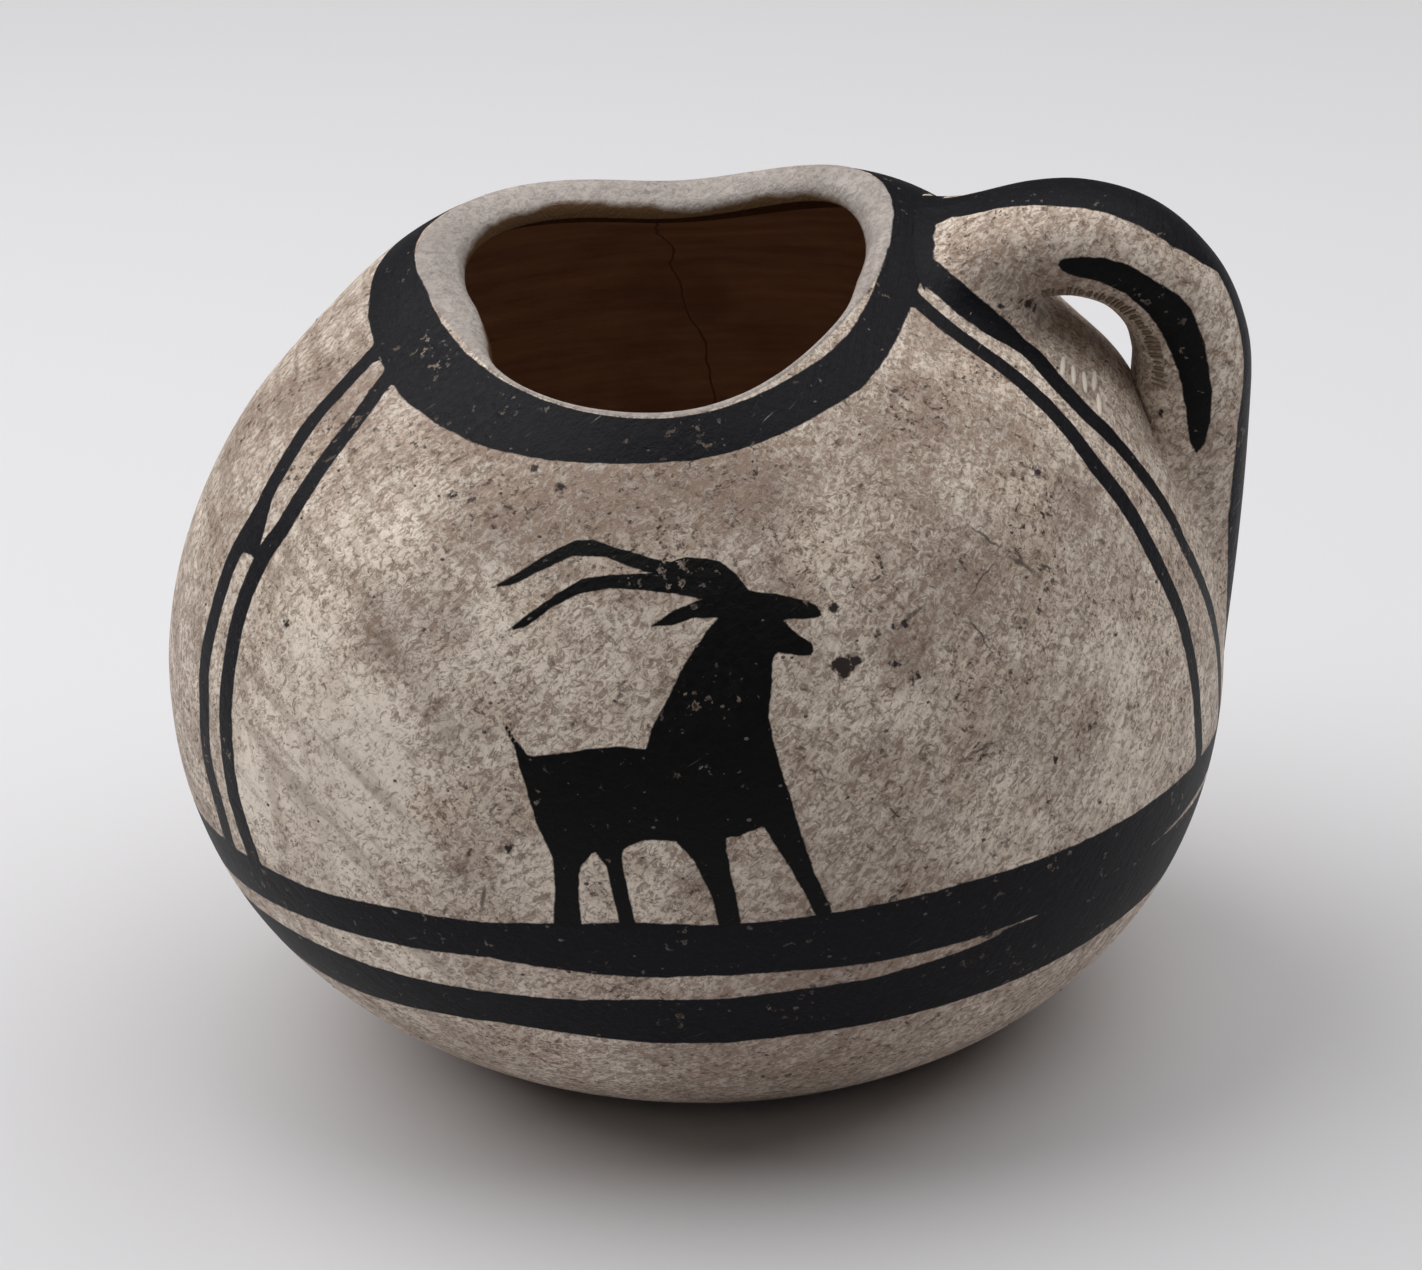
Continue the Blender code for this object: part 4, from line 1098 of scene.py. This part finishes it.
ridge = add(tree, MATH, {0: wiped, 1: 0.5}, operation="MULTIPLY")
bump = add(tree, "ShaderNodeBump", {"Height": ridge, "Distance": MM, "Strength": 0.9})
tree.links.new(bump.outputs["Normal"], shader.inputs["Normal"])
shader.inputs["Roughness"].default_value = 0.85
print("inside:", len(tree.nodes), "nodes")

# %% [markdown]
# ## Grit in the clay
# The potter mixed crushed rock into the clay so that it wouldn't crack in the fire. Some grains show at the
# surface as small dark bumps. They are the same thing many times over, so a tree scatters them: points on the
# faces with a fixed seed, a flattened grain on each with its own size and turn, all made real at the end.

# %% Scatter grains over the wall
scatter, given = open_tree("scatter_grit", {
    "Grains per square metre": "Float", "Smallest": "Float", "Largest": "Float", "Seed": "Int",
    "Finish": "Material"})
spots = add(scatter, "GeometryNodeDistributePointsOnFaces", {
    "Mesh": given["Geometry"], "Density": given["Grains per square metre"], "Seed": given["Seed"]})
grain_size = add(scatter, "FunctionNodeRandomValue", {
    "Min": given["Smallest"], "Max": given["Largest"], "Seed": given["Seed"]}, data_type="FLOAT")
flat_scale = add(scatter, "ShaderNodeCombineXYZ", {0: 1.0, 1: 0.7, 2: 0.35})
grain_scale = add(scatter, VECTOR_MATH, {
    0: flat_scale, "Scale": grain_size.outputs["Value"]}, operation="SCALE")
grain_shape = add(scatter, "GeometryNodeMeshIcoSphere", {"Radius": 1.0, "Subdivisions": 1})
planted = add(scatter, "GeometryNodeInstanceOnPoints", {
    "Points": spots.outputs["Points"], "Instance": grain_shape.outputs["Mesh"],
    "Rotation": spots.outputs["Rotation"], "Scale": grain_scale})
close_tree(scatter, planted, given["Finish"])


def plain_finish(name, hex_colour, roughness):
    """Material of one even colour."""
    material = bpy.data.materials.new(name)
    material.use_nodes = True
    surface = material.node_tree.nodes["Principled BSDF"]
    surface.inputs["Base Color"].default_value = linear(hex_colour)
    surface.inputs["Roughness"].default_value = roughness
    return material


# Crushed rock in the clay, left matt by the fire.
rock = plain_finish("crushed_rock_temper", "#5F534C", 0.8)
grit = bpy.data.objects.new("temper_grit", slipped_wall.data.copy())
scene.collection.objects.link(grit)
settle(grit, scatter, {
    "Grains per square metre": 9000.0, "Smallest": 0.12 * MM, "Largest": 0.38 * MM, "Seed": 7,
    "Finish": rock})
print("grit faces:", len(grit.data.polygons))

# %% [markdown]
# ## Scrape marks round the handle's hole
# The hole was cleaned out with a splinter while the clay was leather-hard, which left short ridges across the
# inner face of the strap and a few pale scratches on the wall under it. Each is a thin raised stroke. They
# follow the curve of the handle, so a row of points carries the direction of each stroke and the way it
# faces, and a tree puts a stroke of uneven length on every point.

# %% Points for the ridges
# The ridges lie on the strap's near inner face: the rings that carry one, and the place round each ring.
RIDGE_RINGS = np.linspace(50, 122, 46).astype(int)
RIDGE_PLACE = 78
RIDGE_REACH = 6
HOLE_CENTRE = (58.0, 0.0, 92.0)
grid = handle_points.reshape(len(rings), AROUND_STRAP, 3)
stroke_points, stroke_runs, stroke_ups = [], [], []
for ring in RIDGE_RINGS:
    spot = grid[ring, RIDGE_PLACE]
    stroke_points.append(spot)
    stroke_runs.append(grid[ring, RIDGE_PLACE + RIDGE_REACH] - grid[ring, RIDGE_PLACE - RIDGE_REACH])
    stroke_ups.append(np.cross(grid[ring + 1, RIDGE_PLACE] - spot, grid[ring, RIDGE_PLACE + 1] - spot))
stroke_ups = [-up if up @ (point - HOLE_CENTRE) > 0.0 else up
              for point, up in zip(stroke_points, stroke_ups)]
ridges = mesh_object("scrape_ridges", stroke_points, [], None, {"run": stroke_runs, "up": stroke_ups})
print("ridges:", len(ridges.data.vertices))

# %% Points for the scratches
# The scratches are found from the front, on the wall or on the handle's root, whichever is met first.
# Across, up and lean of each.
SCRATCHES = [(46.2, 93.4, 0.6), (47.5, 92.3, 0.2), (48.9, 91.2, 0.1), (50.3, 90.6, 0.6), (50.5, 88.9, 0.1)]
IN_FRONT = -100.0
handle_tree = BVHTree.FromObject(handle, bpy.context.evaluated_depsgraph_get())
stroke_points, stroke_runs, stroke_ups = [], [], []
for x, z, lean in SCRATCHES:
    start = Vector((x, IN_FRONT, z)) * MM
    met = [surface.ray_cast(start, Vector((0.0, 1.0, 0.0))) for surface in (wall_tree, handle_tree)]
    spot, normal = min((hit[0].y, hit) for hit in met if hit[0])[1][:2]
    stroke_points.append(np.array(spot) / MM)
    stroke_runs.append(np.cross(normal, (1.0, 0.0, -lean)))
    stroke_ups.append(normal)
scratches = mesh_object("scrape_scratches", stroke_points, [], None, {"run": stroke_runs, "up": stroke_ups})
print("scratches:", len(scratches.data.vertices))

# %% A stroke on every point
scrape, given = open_tree("strokes_on_points", {
    "Length": "Float", "Width": "Float", "Height": "Float", "Seed": "Int", "Finish": "Material"})
run_on = add(scrape, STORED, {"Name": "run"}, data_type="FLOAT_VECTOR")
face_up = add(scrape, STORED, {"Name": "up"}, data_type="FLOAT_VECTOR")
turned = add(scrape, "FunctionNodeAxesToRotation", {
    "Primary Axis": face_up.outputs["Attribute"], "Secondary Axis": run_on.outputs["Attribute"]},
    primary_axis="Z", secondary_axis="X")
share = add(scrape, "FunctionNodeRandomValue", {
    "Min": 0.45, "Max": 1.0, "Seed": given["Seed"]}, data_type="FLOAT")
long = add(scrape, MATH, {0: given["Length"], 1: share.outputs["Value"]}, operation="MULTIPLY")
stroke_size = add(scrape, "ShaderNodeCombineXYZ", {0: long, 1: given["Width"], 2: given["Height"]})
stroke_shape = add(scrape, "GeometryNodeMeshUVSphere", {"Segments": 10, "Rings": 8, "Radius": 0.5})
laid = add(scrape, "GeometryNodeInstanceOnPoints", {
    "Points": given["Geometry"], "Instance": stroke_shape.outputs["Mesh"],
    "Rotation": turned, "Scale": stroke_size})
close_tree(scrape, laid, given["Finish"])

# Clay pushed up across the strap and left dull, and clay scratched open, which dried paler than the slip.
for item, dragged, length, width, height in (
        (ridges, plain_finish("pushed_up_clay", "#85735F", 0.8), 3.2, 0.4, 0.5),
        (scratches, plain_finish("scratched_clay", "#E6DBCD", 0.8), 5.0, 0.75, 0.6)):
    settle(item, scrape, {
        "Length": length * MM, "Width": width * MM, "Height": height * MM, "Seed": 3, "Finish": dragged})
    print(item.name, "faces:", len(item.data.polygons))

# %% [markdown]
# ## Floor and light
# The pot stands on a pale paper sweep. Two broad soft lights hang over it, the stronger one to the left and a
# little behind, so the lower front falls into its own shade and the shadow comes towards the viewer. They are
# kept at a plain level: paper and slip show about the colours written here.

# %% Floor and light
FLOOR_HALF = 3000.0
corners = [(x * FLOOR_HALF, y * FLOOR_HALF, 0.0) for x, y in ((-1, -1), (1, -1), (1, 1), (-1, 1))]
floor = mesh_object("floor", corners, [(0, 1, 2, 3)])
# Plain uncoated paper, matt.
floor.data.materials.append(plain_finish("pale_paper_sweep", "#E2E1E3", 0.9))

world = bpy.data.worlds.new("studio")
scene.world = world
world.use_nodes = True
background = world.node_tree.nodes["Background"].inputs
background["Color"].default_value = linear("#FFFFFF")
background["Strength"].default_value = 0.06
AIM = Vector((0.0, 0.0, 0.05))
# Side, place in metres and watts of each softbox.
for lamp_side, lamp_place, watts in (("left", (-0.45, 0.15, 0.70), 6.1), ("right", (0.30, 0.08, 0.70), 3.9)):
    lamp = bpy.data.lights.new("softbox_" + lamp_side, "AREA")
    lamp.shape = "DISK"
    lamp.size = 1.0
    lamp.energy = watts
    softbox = bpy.data.objects.new("softbox_" + lamp_side, lamp)
    softbox.location = lamp_place
    softbox.rotation_euler = (AIM - softbox.location).to_track_quat("-Z", "Y").to_euler()
    scene.collection.objects.link(softbox)
    print(softbox.name, "at", [round(v, 2) for v in softbox.location])

# %% [markdown]
# ## Hand the pieces over
# Each skin stands for the solids under it and rides on the one body that the pot is.

# %% Hand over
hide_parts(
    "base_pat", "wall_coil_1", "wall_coil_2", "wall_coil_3", "wall_coil_4", "wall_coil_5")
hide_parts("rim_coil")
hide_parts("handle_strap", "handle_upper_luting", "handle_lower_luting")
for piece in (slipped_wall, inside_wall, lip, handle, grit, ridges, scratches):
    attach(piece, "root")
